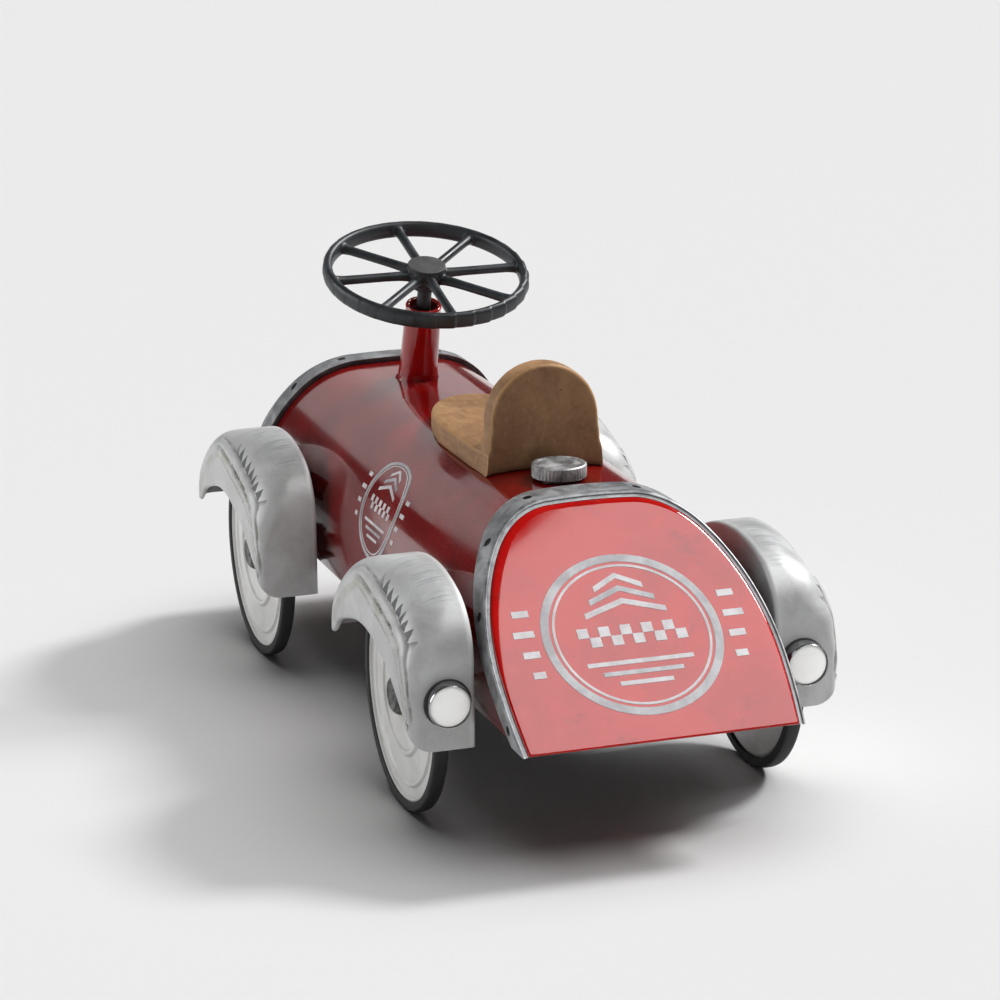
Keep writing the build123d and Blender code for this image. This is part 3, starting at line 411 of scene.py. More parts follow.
# Name, light and dark colour, roughness from and to, size of the clouds; then rubbed edges and the painted
# shade in the hollows.
TRIM = painted("gunmetal_trim", "#b0b2b4", "#707274", (0.34, 0.55), 22, "#b0b1b2", "#222224", 0.5,
               speck="#343434")
TRIM_LIP = painted("trim_lip", "#a6a8aa", "#6c6e70", (0.32, 0.5), 14, "#c4c5c6", "#28282a", 0.45)
SCREW = painted("black_oxide", "#1a1a1b", "#0a0a0b", (0.35, 0.55), 6, "#5a5a5c", metallic=0.6)
STEEL = painted("brushed_steel", "#969798", "#707173", (0.3, 0.5), 18, "#c8c8c8", "#322e2a", 0.9)
DARK_STEEL = painted("dark_steel", "#404244", "#28292b", (0.42, 0.62), 30, "#787a7c", "#141312", 0.4)
ZINC = painted("zinc_plate", "#bab8ae", "#8c8a80", (0.28, 0.5), 8, "#d7d6d0", "#3a362e", 0.85)
NYLON = painted("nylon", "#e0ded6", "#c4c2ba", (0.4, 0.55), 12, hollow_shade="#6e6a62")
GRILLE = painted("grille_metal", "#96989a", "#686a6c", (0.3, 0.5), 20, "#cdcecf", "#1e1e20", 0.6)
RUBBER = painted("tyre_rubber", "#323332", "#1e1f1f", (0.55, 0.8), 22, "#565654", "#141414", bump=0.12,
                 speck="#5a5854")
GASKET = painted("gasket_rubber", "#545454", "#3c3c3d", (0.5, 0.7), 8, bump=0.1)
DISC = painted("disc_enamel", "#e6e6e5", "#d4d3d0", (0.3, 0.5), 32, "#e8e7e4", "#78746a", bump=0.05,
               speck="#96928a", coat=0.3)
HUB = painted("hub_metal", "#868684", "#424242", (0.35, 0.6), 7, "#bebebc", "#1e1e1e", 0.6, 0.2)
CAP = painted("cap_metal", "#c4c5c6", "#767778", (0.3, 0.55), 13, "#e2e2e2", "#3c3c3c", 0.5, 0.12)
CHROME = painted("lamp_chrome", "#bebfc1", "#8c8d8f", (0.12, 0.3), 12, "#e1e1e2", "#28282a", 0.95, 0.03)
WHEEL_GRIP = painted("steering_black", "#363a3e", "#222528", (0.34, 0.52), 28, "#686b6e", "#0e0e0f", 0.15,
                     0.08)
HUB_PLUG = painted("steering_plug", "#4e4e4e", "#424243", (0.55, 0.7), 12, "#787878", None, 0.2, 0.05)
EMBLEM = painted("emblem_silver", "#c4c5c8", "#a09ea2", (0.3, 0.5), 18, metallic=0.1, bump=0.03,
                 speck="#963c38")
EMBLEM_LIGHT = painted("emblem_white", "#e2e0e2", "#c6c0c3", (0.3, 0.5), 18, bump=0.03, speck="#a04642")


def lens_material():
    """Milky plastic lens, with painted shade in its hollows and a faint painted glow."""
    s = Surface("lamp_lens")
    fine = s.noise(5, 4, 0.6)
    colour = s.mix(s.span(fine, 0.3, 0.7), "#f2f2ee", "#fafaf8")
    # Painted shade in the hollows.
    colour = s.tint(colour, "#aaa8a2", s.hollows(3), 0.4)
    s.bump(fine, 0.03, 0.4)
    # The faint emission is a painted glow that brightens the lens.
    return s.set(Base_Color=colour, Roughness=s.span(fine, 0.3, 0.7, 0.16, 0.28), Subsurface_Weight=0.15,
                 Subsurface_Radius=(0.002, 0.002, 0.002), Coat_Weight=0.4,
                 Emission_Color=(1, 1, 0.98, 1), Emission_Strength=0.22)


CHIP_PITCH, CHIP_DEPTH, CHIP_RAGGED = 12.6, 10.0, 3.2


def fender_paint():
    """Silver-grey paint with chips along the shoulder, brushed streaks, darker grooves and a painted
    highlight along the inner edge.
    """
    s = Surface("fender_silver")
    along, across, groove, ridge = [s.value(name) for name in ("along", "across", "groove", "ridge")]
    cloud = s.noise(38, 6, 0.62, 0.4)
    fine = s.noise(2.6, 5, 0.6)
    colour = s.mix(s.span(cloud, 0.3, 0.7), "#b6b7b6", "#cecfcf")
    colour = s.tint(colour, "#8c8c88", s.span(fine, 0.5, 0.9, 0.0, 0.3))
    # Brushed streaks across the crown.
    lines = s.node("ShaderNodeCombineXYZ")
    s.link(s.times(along, MM), lines.inputs[0])
    s.link(s.times(across, MM * 0.06), lines.inputs[1])
    streak = s.noise(2.6, 4, 0.6, place=lines.outputs[0])
    crown = s.times(s.span(along, 106, 128), s.span(along, 230, 190))
    reach = s.times(s.span(across, 3, 12), s.span(across, 34, 24))
    colour = s.tint(colour, "#92969c", s.times(s.span(streak, 0.52, 0.6), crown, reach), 0.55)
    # Darker, greenish grey in the grooves, a stain on the bead and flakes off its crest.
    colour = s.tint(colour, "#68655a", s.times(groove, s.span(s.noise(12, 5, 0.7), 0.3, 0.6)), 0.8)
    stained = s.times(s.span(ridge, 9.5, 11.5), s.span(ridge, 22, 14), s.span(s.noise(20, 5, 0.7), 0.36, 0.6))
    colour = s.tint(colour, "#9e9c8c", stained, 0.55)
    crest = s.times(s.span(s.noise(3.4, 3, 0.7), 0.52, 0.56),
                    s.times(s.span(ridge, 7, 9), s.span(ridge, 13, 11)))
    flake = s.times(crest, s.times(s.span(along, 88, 104), s.span(along, 190, 176)))
    colour = s.tint(colour, "#4e4f4e", flake, 0.8)
    # Saw-tooth chips along the shoulder.
    tooth = s.math("FRACT", s.math("DIVIDE", along, CHIP_PITCH))
    ragged = s.times(s.math("SUBTRACT", s.noise(2.2, 3, 0.6), 0.5), CHIP_RAGGED)
    beyond = s.plus(ridge, s.plus(s.times(tooth, CHIP_DEPTH), ragged))
    inside = s.times(s.span(beyond, 0.0, 0.5), s.span(s.times(ridge, -1.0), 0.0, 0.4))
    where = s.times(s.span(along, 80, 92), s.span(along, 196, 176))
    chip = s.times(inside, where, s.span(tooth, 0.12, 0.2))
    colour = s.tint(colour, "#46484a", chip, 0.85)
    # Painted highlight: a paler strip along the inner edge; and small chips on every edge.
    strip = s.times(s.span(across, -0.5, 0.2), s.span(across, 5.2, 4.4))
    colour = s.tint(colour, "#e0e0e0", strip, 0.3)
    edge_wear_and_highlight = s.times(s.edges(1.2), s.span(s.noise(4, 4, 0.7), 0.6, 0.66))
    colour = s.tint(colour, "#3e3e3e", edge_wear_and_highlight, 0.8)
    s.bump(s.math("SUBTRACT", s.plus(fine, s.times(streak, 0.8)), chip), 0.1, 0.6)
    rough = s.plus(s.span(cloud, 0.3, 0.7, 0.36, 0.52), s.times(chip, 0.2))
    return s.set(Base_Color=colour, Roughness=rough, Metallic=0.15, Coat_Weight=0.15, Coat_Roughness=0.3)


def seat_hide():
    """Tan seat surface: fine grain, stains, small specks, pale edges as painted highlight, and painted shade
    on faces turned back and in the hollows.
    """
    s = Surface("seat_tan")
    cloud = s.noise(34, 6, 0.65, 0.5)
    grain = s.noise(1.5, 5, 0.65)
    long_grain = s.noise(5, 5, 0.6, stretch=(0.25, 1.0, 1.0))
    stain = s.noise(17, 6, 0.75, 0.8)
    colour = s.mix(s.span(cloud, 0.3, 0.7), "#86603e", "#ac845c")
    colour = s.tint(colour, "#ba946a", s.span(long_grain, 0.45, 0.75, 0.0, 0.4))
    colour = s.tint(colour, "#6e4c30", s.span(grain, 0.5, 0.8, 0.0, 0.45))
    colour = s.tint(colour, "#4a301e", s.span(stain, 0.62, 0.74), 0.55)
    colour = s.tint(colour, "#3e2a1c", s.span(s.noise(3.6, 3, 0.5), 0.7, 0.75), 0.7)
    # Painted shade: darker where the surface faces the back.
    facing = s.node("ShaderNodeSeparateXYZ")
    s.link(s.node("ShaderNodeNewGeometry").outputs["Normal"], facing.inputs[0])
    colour = s.tint(colour, "#5c3e2a", s.span(facing.outputs[0], -0.35, -0.95, 0.0, 0.45))
    # Painted highlight: paler along the rounded edges.
    colour = s.tint(colour, "#c49866", s.value("edge_wear_and_highlight"), 0.6)
    # Painted shade in the hollows.
    colour = s.tint(colour, "#302016", s.hollows(16), 0.5)
    s.bump(s.plus(grain, s.times(long_grain, 0.8)), 0.22, 0.7)
    return s.set(Base_Color=colour, Roughness=s.span(cloud, 0.3, 0.7, 0.5, 0.66), Specular_IOR_Level=0.35)


LENS = lens_material()
FENDER = fender_paint()
HIDE = seat_hide()


# ---------------------------------------------------------------- body outline

BODY_BOTTOM, BODY_TOP = [corner[2] for corner in box("body_shell")]
CROWN_R, SHOULDER_R, SIDE_R, TUCK_R = 660.0, 70.0, 114.0, 250.0
CROWN_ANGLE, SHOULDER_ANGLE, SIDE_ANGLE = 3.0, 49.0, 90.0
REAR_SLOPE, FRONT_SLOPE = 1.136, 0.469
REAR_FOOT = box("rear_panel")[0][0]
FRONT_FOOT = box("front_panel")[1][0]
ARCH_STEPS, FACE_STEPS = 72, 40


def section(angle, offset=0.0):
    """Y, Z and outward direction on the body's arched section, at an angle from the top in degrees."""
    side = 1 if angle >= 0 else -1
    turn = radians(abs(angle))
    y, z, radius = 0.0, BODY_TOP - CROWN_R, CROWN_R
    for inner, start in ((SHOULDER_R, CROWN_ANGLE), (SIDE_R, SHOULDER_ANGLE), (TUCK_R, SIDE_ANGLE)):
        if abs(angle) > start:
            y += (radius - inner) * sin(radians(start))
            z += (radius - inner) * cos(radians(start))
            radius = inner
    reach = radius + offset
    return side * (y + reach * sin(turn)), z + reach * cos(turn), side * sin(turn), cos(turn)


def angle_at(height, offset=0.0):
    """Angle at which the section, moved out by offset, reaches a height."""
    low, high = 5.0, 130.0
    for _ in range(50):
        middle = (low + high) / 2
        low, high = (middle, high) if section(middle, offset)[1] > height else (low, middle)
    return low


def rear_x(z, depth=0.0):
    return REAR_FOOT + REAR_SLOPE * (z - BODY_BOTTOM) + depth * hypot(1, REAR_SLOPE)


def front_x(z, depth=0.0):
    return FRONT_FOOT - FRONT_SLOPE * (z - BODY_BOTTOM) - depth * hypot(1, FRONT_SLOPE)


def arch(place, offset, lift, depth):
    """Points of an arched outline from the left foot over the top to the right foot."""
    end = angle_at(BODY_BOTTOM + lift, offset)
    points = []
    for t in np.linspace(-1, 1, 2 * ARCH_STEPS + 1):
        y, z = section(-t * end, offset)[:2]
        points.append((place(z, depth), y, z))
    return np.array(points)


def cross_rows(points):
    """Level rows from each left point of an arch to the right point at the same height."""
    left, right = points[:ARCH_STEPS + 1], points[::-1][:ARCH_STEPS + 1]
    share = np.linspace(0, 1, FACE_STEPS + 1)[None, :, None]
    return left[:, None, :] * (1 - share) + right[:, None, :] * share


def panel_sides(skin, place, rings):
    """Side walls through rings of (offset, lift, depth), round the arch and along the level foot."""
    arches = [arch(place, *ring) for ring in rings]
    skin.grid(arches)
    share = np.linspace(0, 1, FACE_STEPS + 1)[:, None]
    skin.grid([points[0] * (1 - share) + points[-1] * share for points in arches])


def quarter(radius):
    """(inset, depth) along a rounded edge, from the side to the face."""
    return [(radius * (1 - cos(t)), radius * (1 - sin(t))) for t in np.linspace(0, pi / 2, 6)]


def rear_panel():
    """Pressed lid with a rounded edge."""
    skin = Skin()
    wall, deep, radius = 2.0, 12.0, 2.6
    outer = [(0, 0, deep)] + [(-inset, inset, depth) for inset, depth in quarter(radius)]
    inner = [(-wall, wall, wall + 0.6), (-wall, wall, deep)]
    panel_sides(skin, rear_x, outer)
    panel_sides(skin, rear_x, inner)
    panel_sides(skin, rear_x, [(0, 0, deep), (-wall, wall, deep)])
    skin.grid(cross_rows(arch(rear_x, *outer[-1])))
    skin.grid(cross_rows(arch(rear_x, *inner[0])))
    stand_in(skin.build("rear_panel_lid"), "car", RED_PANEL_LIT, "red_paint", "rear_panel")


def trim_bead(name, place):
    """Rolled bead along the trim's outer edge."""
    depth, offset, radius = 2.0, 3.5, 1.25
    rings = np.array([arch(place, offset + radius * cos(t), 0.05, depth + 1.15 * radius * sin(t))
                      for t in circle(14)])
    skin = Skin()
    skin.grid(rings, wrap_rows=True)
    skin.caps([rings[:, 0], rings[:, -1]])
    stand_in(skin.build(name, sharp=50), "car", TRIM_LIP, "trim_grey")


rear_panel()
trim_bead("rear_trim_bead", rear_x)
trim_bead("front_trim_bead", front_x)


# ---------------------------------------------------------------- emblems

EMBLEM_RISE, EMBLEM_ROOT = 0.22, 0.15


def emblem_shapes(radius):
    """Racing roundel of rings, a chequered band, chevrons and side bars, in flat grids of (across, up)."""
    shapes = []

    def ring(inner, outer, light):
        t = np.radians(np.linspace(0, 360, 73))
        circles = [np.stack([r * np.cos(t), r * np.sin(t)], -1) for r in (inner, (inner + outer) / 2, outer)]
        shapes.append((np.stack(circles), light))

    def plate(corners, light, rows=4, columns=12):
        a, b, c, d = [np.array(p, float) for p in corners]
        u = np.linspace(0, 1, columns + 1)[None, :, None]
        v = np.linspace(0, 1, rows + 1)[:, None, None]
        shapes.append(((a * (1 - u) + b * u) * (1 - v) + (d * (1 - u) + c * u) * v, light))

    def bar(x, y, x2, y2, light, rows=4, columns=12):
        plate([(x, y), (x2, y), (x2, y2), (x, y2)], light, rows, columns)

    ring(0.79 * radius, 0.87 * radius, False)
    ring(0.735 * radius, 0.76 * radius, True)
    square = 0.105 * radius
    for row in range(2):
        for column in range(-5, 5):
            if (row + column) % 2 == 0:
                x, y = column * square, (row - 1) * square
                bar(x, y, x + square, y + square, True, 2, 2)
    for index in range(3):
        y = (0.2 + 0.14 * index) * radius
        reach, rise, thick = (0.4 - 0.08 * index) * radius, 0.13 * radius, 0.06 * radius
        for side in (-1, 1):
            chevron = [(0, y + rise), (side * reach, y), (side * reach, y + thick), (0, y + rise + thick)]
            plate(chevron, index != 1)
    for index in range(3):
        y = -(0.27 + 0.11 * index) * radius
        reach = (0.52 - 0.13 * index) * radius
        bar(-reach, y - 0.045 * radius, reach, y, index % 2 == 0, 2, 24)
    for index in range(4):
        y, half = (0.33 - 0.22 * index) * radius, 0.035 * radius
        start, end = 0.93 * radius, (1.13 - 0.04 * abs(index - 1)) * radius
        for side in (-1, 1):
            bar(side * start, y - half, side * end, y + half, True)
    return shapes


def emblem(name, radius, on_surface):
    """Thin raised plates laid on a surface. on_surface(across, up) gives the points and directions."""
    for light, material in ((False, EMBLEM), (True, EMBLEM_LIGHT)):
        skin = Skin()
        for shape, is_light in emblem_shapes(radius):
            if is_light is not light:
                continue
            points, outward = on_surface(shape[..., 0], shape[..., 1])
            top, low = points + outward * EMBLEM_RISE, points - outward * EMBLEM_ROOT
            skin.grid(top)
            skin.grid(low[::-1])
            closed = np.allclose(shape[:, 0], shape[:, -1], atol=1e-6)
            for edge in (0, -1):
                skin.grid([top[edge], low[edge]])
                if not closed:
                    skin.grid([top[:, edge], low[:, edge]])
        label = name + ("_light" if light else "_grey")
        stand_in(skin.build(label, sharp=60, weld=0.0005), "car", material, "fender_silver")


def on_rear_panel(across, up):
    """Rear panel seen from behind: across runs to the right, up climbs the slope."""
    middle_z, slant = 157.0, hypot(1, REAR_SLOPE)
    z = middle_z + up / slant
    points = np.stack([rear_x(z), -across, z], -1)
    outward = np.broadcast_to(np.array([-1, 0, REAR_SLOPE]) / slant, points.shape)
    return points, outward


def on_side(side):
    """Body side seen square on."""
    def place(across, up):
        middle_x, middle_angle, bend_r = 4.0, 66.0, 108.0
        angle = middle_angle - np.degrees(up / bend_r)
        flat = np.array([section(a) for a in angle.ravel()]) * (side, 1, side, 1)
        y, z, out_y, out_z = [flat[:, k].reshape(up.shape) for k in range(4)]
        points = np.stack([middle_x - side * across, y, z], -1)
        return points, np.stack([np.zeros_like(y), out_y, out_z], -1)
    return place


emblem("rear_emblem", 82.0, on_rear_panel)
emblem("side_emblem_left", 50.0, on_side(1))
emblem("side_emblem_right", 50.0, on_side(-1))


# ---------------------------------------------------------------- fenders

def catmull(points, count):
    """Evenly spaced points on a smooth curve through the given points."""
    points = np.array(points, float)
    padded = np.vstack([2 * points[0] - points[1], points, 2 * points[-1] - points[-2]])
    dense = []
    for i in range(1, len(padded) - 2):
        a, b, c, d = padded[i - 1:i + 3]
        for t in np.linspace(0, 1, 40, endpoint=False):
            dense.append(0.5 * (2 * b + (c - a) * t + (2 * a - 5 * b + 4 * c - d) * t * t
                                + (3 * b - a - 3 * c + d) * t ** 3))
    dense = np.array(dense + [points[-1]])
    length = lengths(dense)
    wanted = np.linspace(0, length[-1], count)
    return np.stack([np.interp(wanted, length, dense[:, k]) for k in range(2)], -1)


FENDER_BACK, FENDER_INNER, FENDER_SHEET = 100.0, 122.0, 1.6
FOOT_CORNER = 20.0
WALL_LIFT = 60.0
STRAIGHT_TOP = 143.0
FENDER_ARCS = (52.5, -19.5, 22), (160.0, 45.0, 44), (46.5, 90.0, 14)
TIP_HEIGHT = 117.5
# Height above the inner wall, inset below the crown, and tilt of the turned inner edge.
TURNED_EDGE = (0, 3.4, 90), (0, 2.3, 80), (0.5, 1.3, 60), (1.5, 0.5, 30), (3.0, 0.1, 10), (4.4, 0.0, 2)
EDGE_INSET, EDGE_WIDTH = TURNED_EDGE[0][1], TURNED_EDGE[-1][0]
# Wheel opening behind, over and in front of the axle; the first two points rise from the foot.
OPENING_FOOT = (-97, 22), (-91, 26)
OPENING = [(-81, 109), (-64, 121), (-46, 132), (-21, 141), (5, 147), (32, 147), (59, 141), (82, 133),
           (91, 125), (99.3, 119)]
# By distance along the outline from the foot: the shoulder's radius, and three lines measured round
# the shoulder from its start: the crown side of the inner bead, the groove and the last line.
SHOULDER_BY_LENGTH = ([0, 45, 65, 85, 110, 130, 150, 165, 195, 226, 240, 260],
                      [7, 7, 15, 30, 38, 44, 44, 42, 35, 24, 18, 17])
FIRST_LINE = ([30, 42, 58, 72, 90, 100, 112, 126, 140, 160, 172, 182, 200, 230],
              [4.5, 6, 12.5, 21.5, 30.5, 35, 41, 44.5, 45.5, 44, 40, 37, 30, 17])
GROOVE_LINE = ([30, 38, 48, 60, 68, 80, 96, 124, 146, 166, 184, 200, 230],
               [8.5, 10, 16, 25.5, 30.5, 37, 46, 55, 56, 52.5, 47.5, 41, 25])
LAST_LINE = [30, 48, 64, 88, 128, 146, 164, 184, 200, 230], [13, 24, 39, 54, 65, 65, 62, 58, 50, 33]
BEAD_LIFT, GROOVE_DEPTH, GROOVE_WIDTH = 1.5, 0.45, 1.1
RIM_CURL, RIM_LIP = 2.4, 1.2
FAR_FROM_RIDGE = 60.0


def fender_stations(foot):
    """Outline of a fender from its foot over the crown to the tip: X from the axle, Z and direction."""
    rounding = foot + FOOT_CORNER * (1 - np.cos(np.linspace(0, pi / 2, 10)))[:-1]
    straight = np.linspace(foot + FOOT_CORNER, STRAIGHT_TOP - 1, 12)
    stations = [(-FENDER_BACK, z, -90.0) for z in (*rounding, *straight)]
    x, z, angle = -FENDER_BACK, STRAIGHT_TOP, -90.0
    for radius, end, steps in FENDER_ARCS:
        centre_x = x - radius * sin(radians(angle))
        centre_z = z - radius * cos(radians(angle))
        for a in np.linspace(angle, end, steps + 1)[0 if angle == -90.0 else 1:]:
            stations.append((centre_x + radius * sin(radians(a)), centre_z + radius * cos(radians(a)), a))
        x, z, angle = stations[-1]
    return stations + [(x, height, 90.0) for height in np.linspace(z, TIP_HEIGHT, 4)[1:]]


class Rib:
    """One cross-section of a fender: points, directions and the numbers that its paint reads."""

    def __init__(self, station, along, outer_y, rim, y_end, phi_end):
        x, z, angle = station
        self.out = np.array([sin(radians(angle)), 0, cos(radians(angle))])
        self.origin = np.array([x, 0, z])
        self.outer_y, self.rim, self.phi_end = outer_y, rim, phi_end
        self.round_r = np.interp(along, *SHOULDER_BY_LENGTH)
        self.shoulder_y = outer_y - self.round_r
        self.flat_end = min(self.shoulder_y, y_end)
        self.lines = [np.interp(along, *table) for table in (FIRST_LINE, GROOVE_LINE, LAST_LINE)]
        self.fade = smooth_step(along, 18, 36) * (1 - smooth_step(along, 196, 262))
        self.rows = []

    def add(self, point, normal, across, groove=0.0, ridge=-FAR_FROM_RIDGE):
        self.rows.append((point, normal, across, groove, ridge))

    def pressed(self, s):
        """Lift of the beads and depth of the grooves at a distance s round the shoulder."""
        if self.rim is None:
            return 0.0, 0.0
        lift = 0.0
        sunk = max(np.exp(-((s - line) / GROOVE_WIDTH) ** 2) for line in self.lines)
        for start, end in zip(self.lines, self.lines[1:]):
            t = (s - start) / (end - start)
            if 0 < t < 1:
                lift = BEAD_LIFT * sin(pi * t) ** 1.2
        return self.fade * (lift - GROOVE_DEPTH * sunk), self.fade * sunk

    def wall(self, foot):
        """Wall beside the body, from its lower edge up to the turned inner edge."""
        corner = self.origin - self.out * EDGE_INSET + (0, FENDER_INNER, 0)
        foot = corner if foot is None else foot
        for t in np.linspace(0, 1, 9)[:-1]:
            self.add(foot * (1 - t) + corner * t, np.array([0, -1.0, 0]),
                     -(1 - t) * np.linalg.norm(foot - corner))

    def crown(self):
        """Turned inner edge and the flat of the crown."""
        for y, inset, tilt in TURNED_EDGE:
            self.add(self.origin - self.out * inset + (0, FENDER_INNER + y, 0),
                     self.out * cos(radians(tilt)) + np.array([0, -sin(radians(tilt)), 0]), y)
        for y in np.linspace(FENDER_INNER + EDGE_WIDTH, self.flat_end, 13)[1:]:
            self.add(self.origin + (0, y, 0), self.out, y - FENDER_INNER,
                     ridge=y - self.shoulder_y - self.lines[0])

    def shoulder(self):
        for phi in np.linspace(0, self.phi_end, 52)[1:]:
            s = self.round_r * phi
            lift, sunk = self.pressed(s)
            normal = self.out * cos(phi) + np.array([0, sin(phi), 0])
            point = self.origin - self.out * self.round_r + (0, self.flat_end, 0) + normal * self.round_r
            overhang = max(0.0, point[1] + normal[1] * lift - self.outer_y)
            self.add(point + normal * lift - (0, overhang, 0), normal, self.shoulder_y - FENDER_INNER + s,
                     sunk, s - self.lines[0])

    def skirt(self):
        """Flat side down to the wheel opening. Returns where it ends."""
        start, normal, across = self.rows[-1][:3]
        target = start if self.rim is None else np.array([self.rim[0], self.outer_y, self.rim[1]])
        reach = np.linalg.norm(target - start)
        for t in np.linspace(0, 1, 23)[1:] ** 1.7:
            s = self.round_r * self.phi_end + reach * t
            lift, sunk = self.pressed(s)
            sink = min(0.0, lift - 0.6 * self.fade * (1 - t) ** 8)
            self.add(start * (1 - t) + target * t + normal * sink, normal, across + reach * t, sunk,
                     s - self.lines[0])
        return target, normal

    def rolled_rim(self, target, normal, inward):
        for t in np.linspace(0, pi / 2, 6)[1:]:
            self.add(target + (inward * sin(t) - normal * (1 - cos(t))) * RIM_CURL,
                     normal * cos(t) + inward * sin(t), self.rows[-1][2] + RIM_CURL / 4, ridge=FAR_FROM_RIDGE)
        point, last, across = self.rows[-1][:3]
        self.add(point - normal * RIM_LIP, last, across + RIM_LIP, ridge=FAR_FROM_RIDGE)


def fender(end, side_name):
    """Pressed fender with a turned edge, two shoulder beads and a rolled rim round the wheel opening."""
    node = f"fender_{end}_{side_name}"
    low, high = box(node)
    outer_y, foot = high[1] if side_name == "left" else -low[1], low[2]
    stations = fender_stations(foot)
    along = lengths(np.array([s[:2] for s in stations]))
    opening = catmull([(x, foot + z) for x, z in OPENING_FOOT] + OPENING, 400)
    first = next(i for i, s in enumerate(stations) if s[1] >= foot + FOOT_CORNER - 0.01)
    last = next(i for i, s in enumerate(stations) if s[2] >= 89.99)
    walled = [i for i, s in enumerate(stations) if s[1] >= foot + WALL_LIFT]
    wall_from, wall_to = stations[walled[0]][0] + EDGE_INSET, stations[walled[-1]][0] - EDGE_INSET
    ribs = []
    for i, station in enumerate(stations):
        x, z, angle = station
        rim, y_end, phi_end, inward = None, outer_y, pi / 2, np.zeros(3)
        if i < first:
            inset = np.sqrt(max(0.0, FOOT_CORNER ** 2 - (foot + FOOT_CORNER - z) ** 2))
            y_end = outer_y - FOOT_CORNER + inset
            round_r = np.interp(along[i], *SHOULDER_BY_LENGTH)
            phi_end = asin(np.clip((y_end - outer_y + round_r) / round_r, 0, 1))
        elif i > last:
            phi_end = radians(86.0 - 14.5 * (i - last) / (len(stations) - 1 - last))
            inward = np.array([cos(radians(angle)), 0, -sin(radians(angle))])
        else:
            share = (along[i] - along[first]) / (along[last] - along[first])
            at = int(round(share * (len(opening) - 1)))
            rim = opening[at]
            step = opening[min(len(opening) - 1, at + 3)] - opening[max(0, at - 3)]
            step = step / max(1e-6, np.linalg.norm(step))
            inward = np.array([step[1], 0, -step[0]])
        rib = Rib(station, along[i], outer_y, rim, y_end, phi_end)
        wall_foot = None
        if walled[0] <= i <= walled[-1]:
            share = (along[i] - along[walled[0]]) / (along[walled[-1]] - along[walled[0]])
            wall_foot = np.array([wall_from * (1 - share) + wall_to * share, FENDER_INNER, foot + WALL_LIFT])
        rib.wall(wall_foot)
        rib.crown()
        rib.shoulder()
        rib.rolled_rim(*rib.skirt(), inward)
        ribs.append(rib.rows)
    points, normals, across, groove, ridge = [np.array([[row[k] for row in rib] for rib in ribs])
                                              for k in range(5)]
    outer = points + (low[0] + FENDER_BACK, 0, 0)
    inner = outer - normals * FENDER_SHEET
    skin = Skin()
    for sheet in (outer, inner):
        skin.grid(sheet, along=along[:, None], across=across, groove=groove, ridge=ridge)
    for edge in (0, -1):
        skin.grid([outer[edge], inner[edge]], along=along[edge], across=across[edge][None])
        skin.grid([outer[:, edge], inner[:, edge]], along=along[None], across=across[:, edge][None])
    obj = skin.build(f"{node}_shell", mirror=side_name == "right", weld=0.02, sharp=45)
    stand_in(obj, "car", FENDER, "fender_silver", node)


for end, side_name in BODIES_OF_WHEELS:
    fender(end, side_name)


# ---------------------------------------------------------------- wheels

def wheel(end, side_name):
    """Disc, tyre and hub cap of one wheel, turned about the axle; heights run outwards along it."""
    name = f"{end}_{side_name}"
    body = f"wheel_{name}"
    side = 1 if side_name == "left" else -1
    low, high = box(f"tyre_{name}")
    centre = (low + high) / 2
    width, radius = (high[1] - low[1]) / 2, (high[2] - low[2]) / 2
    place = axis_place(centre, (0, side, 0))
    bore = radius - 8
    tyre = rounded([(bore, -width), (radius - 1.0, -width), (radius, -width * 0.4), (radius, width * 0.4),
                    (radius - 0.9, width), (bore + 1.2, width), (bore, width - 1.6)],
                   [0.4, 2.6, 2.5, 2.5, 2.6, 1.4, 0.6], 5, closed=True)
    lathe(f"tyre_{name}_tread", body, RUBBER, "tyre_black", f"tyre_{name}", place, tyre, 160, 60)
    outer = high[1] if side > 0 else -low[1]
    lip, dish, ring, plain, step, inside = [
        y - outer + width for y in (149.9, 147.4, 148.9, 149.0, 150.4, 141.0)]
    disc = rounded([
        (7.0, inside), (bore - 3, inside), (bore - 0.1, inside + 1.5), (bore - 0.1, lip - 0.6),
        (bore - 2.0, lip), (bore - 3.6, dish), (73.5, dish - 0.3), (71.5, ring + 0.3), (69.3, ring),
        (67.8, plain - 1.3), (49.5, plain - 0.9), (47.2, step), (44.8, step), (43.4, plain - 0.5),
        (22.0, plain), (18.5, step), (7.0, step)],
        [0.3, 2, 0.5, 0.5, 0.9, 1.4, 1.6, 1.0, 0.8, 1.2, 1.6, 0.9, 0.8, 1.2, 3, 1.5, 0.3], 5, closed=True)
    lathe(f"disc_{name}_pressing", body, DISC, "disc_white", f"wheel_disc_{name}", place, disc, 160, 60)
    cap_low, cap_high = box(f"hub_cap_{name}")
    base, top = (cap_low[1], cap_high[1]) if side > 0 else (-cap_high[1], -cap_low[1])
    base, top = base - outer + width, top - outer + width
    cap_r = (cap_high[2] - cap_low[2]) / 2
    cap = rounded([(7.1, base), (cap_r, base), (cap_r, base + 2.2), (cap_r - 1.8, top - 2.2),
                   (cap_r - 4.2, top - 0.1), (cap_r - 6.0, top - 0.8), (cap_r - 9.0, top - 1.9),
                   (4.2, top - 1.6), (3.2, top - 0.5), (0, top - 0.3), (0, base + 4), (7.1, base + 4)],
                  [0.2, 0.7, 1.2, 1.6, 1.2, 1.0, 2.0, 0.7, 0.7, 0, 0, 0.2], 4, closed=True)
    lathe(f"hub_cap_{name}_dome", body, HUB, "hub_metal", f"hub_cap_{name}", place, cap, 72, 50)


for end, side_name in BODIES_OF_WHEELS:
    wheel(end, side_name)


# ---------------------------------------------------------------- steering

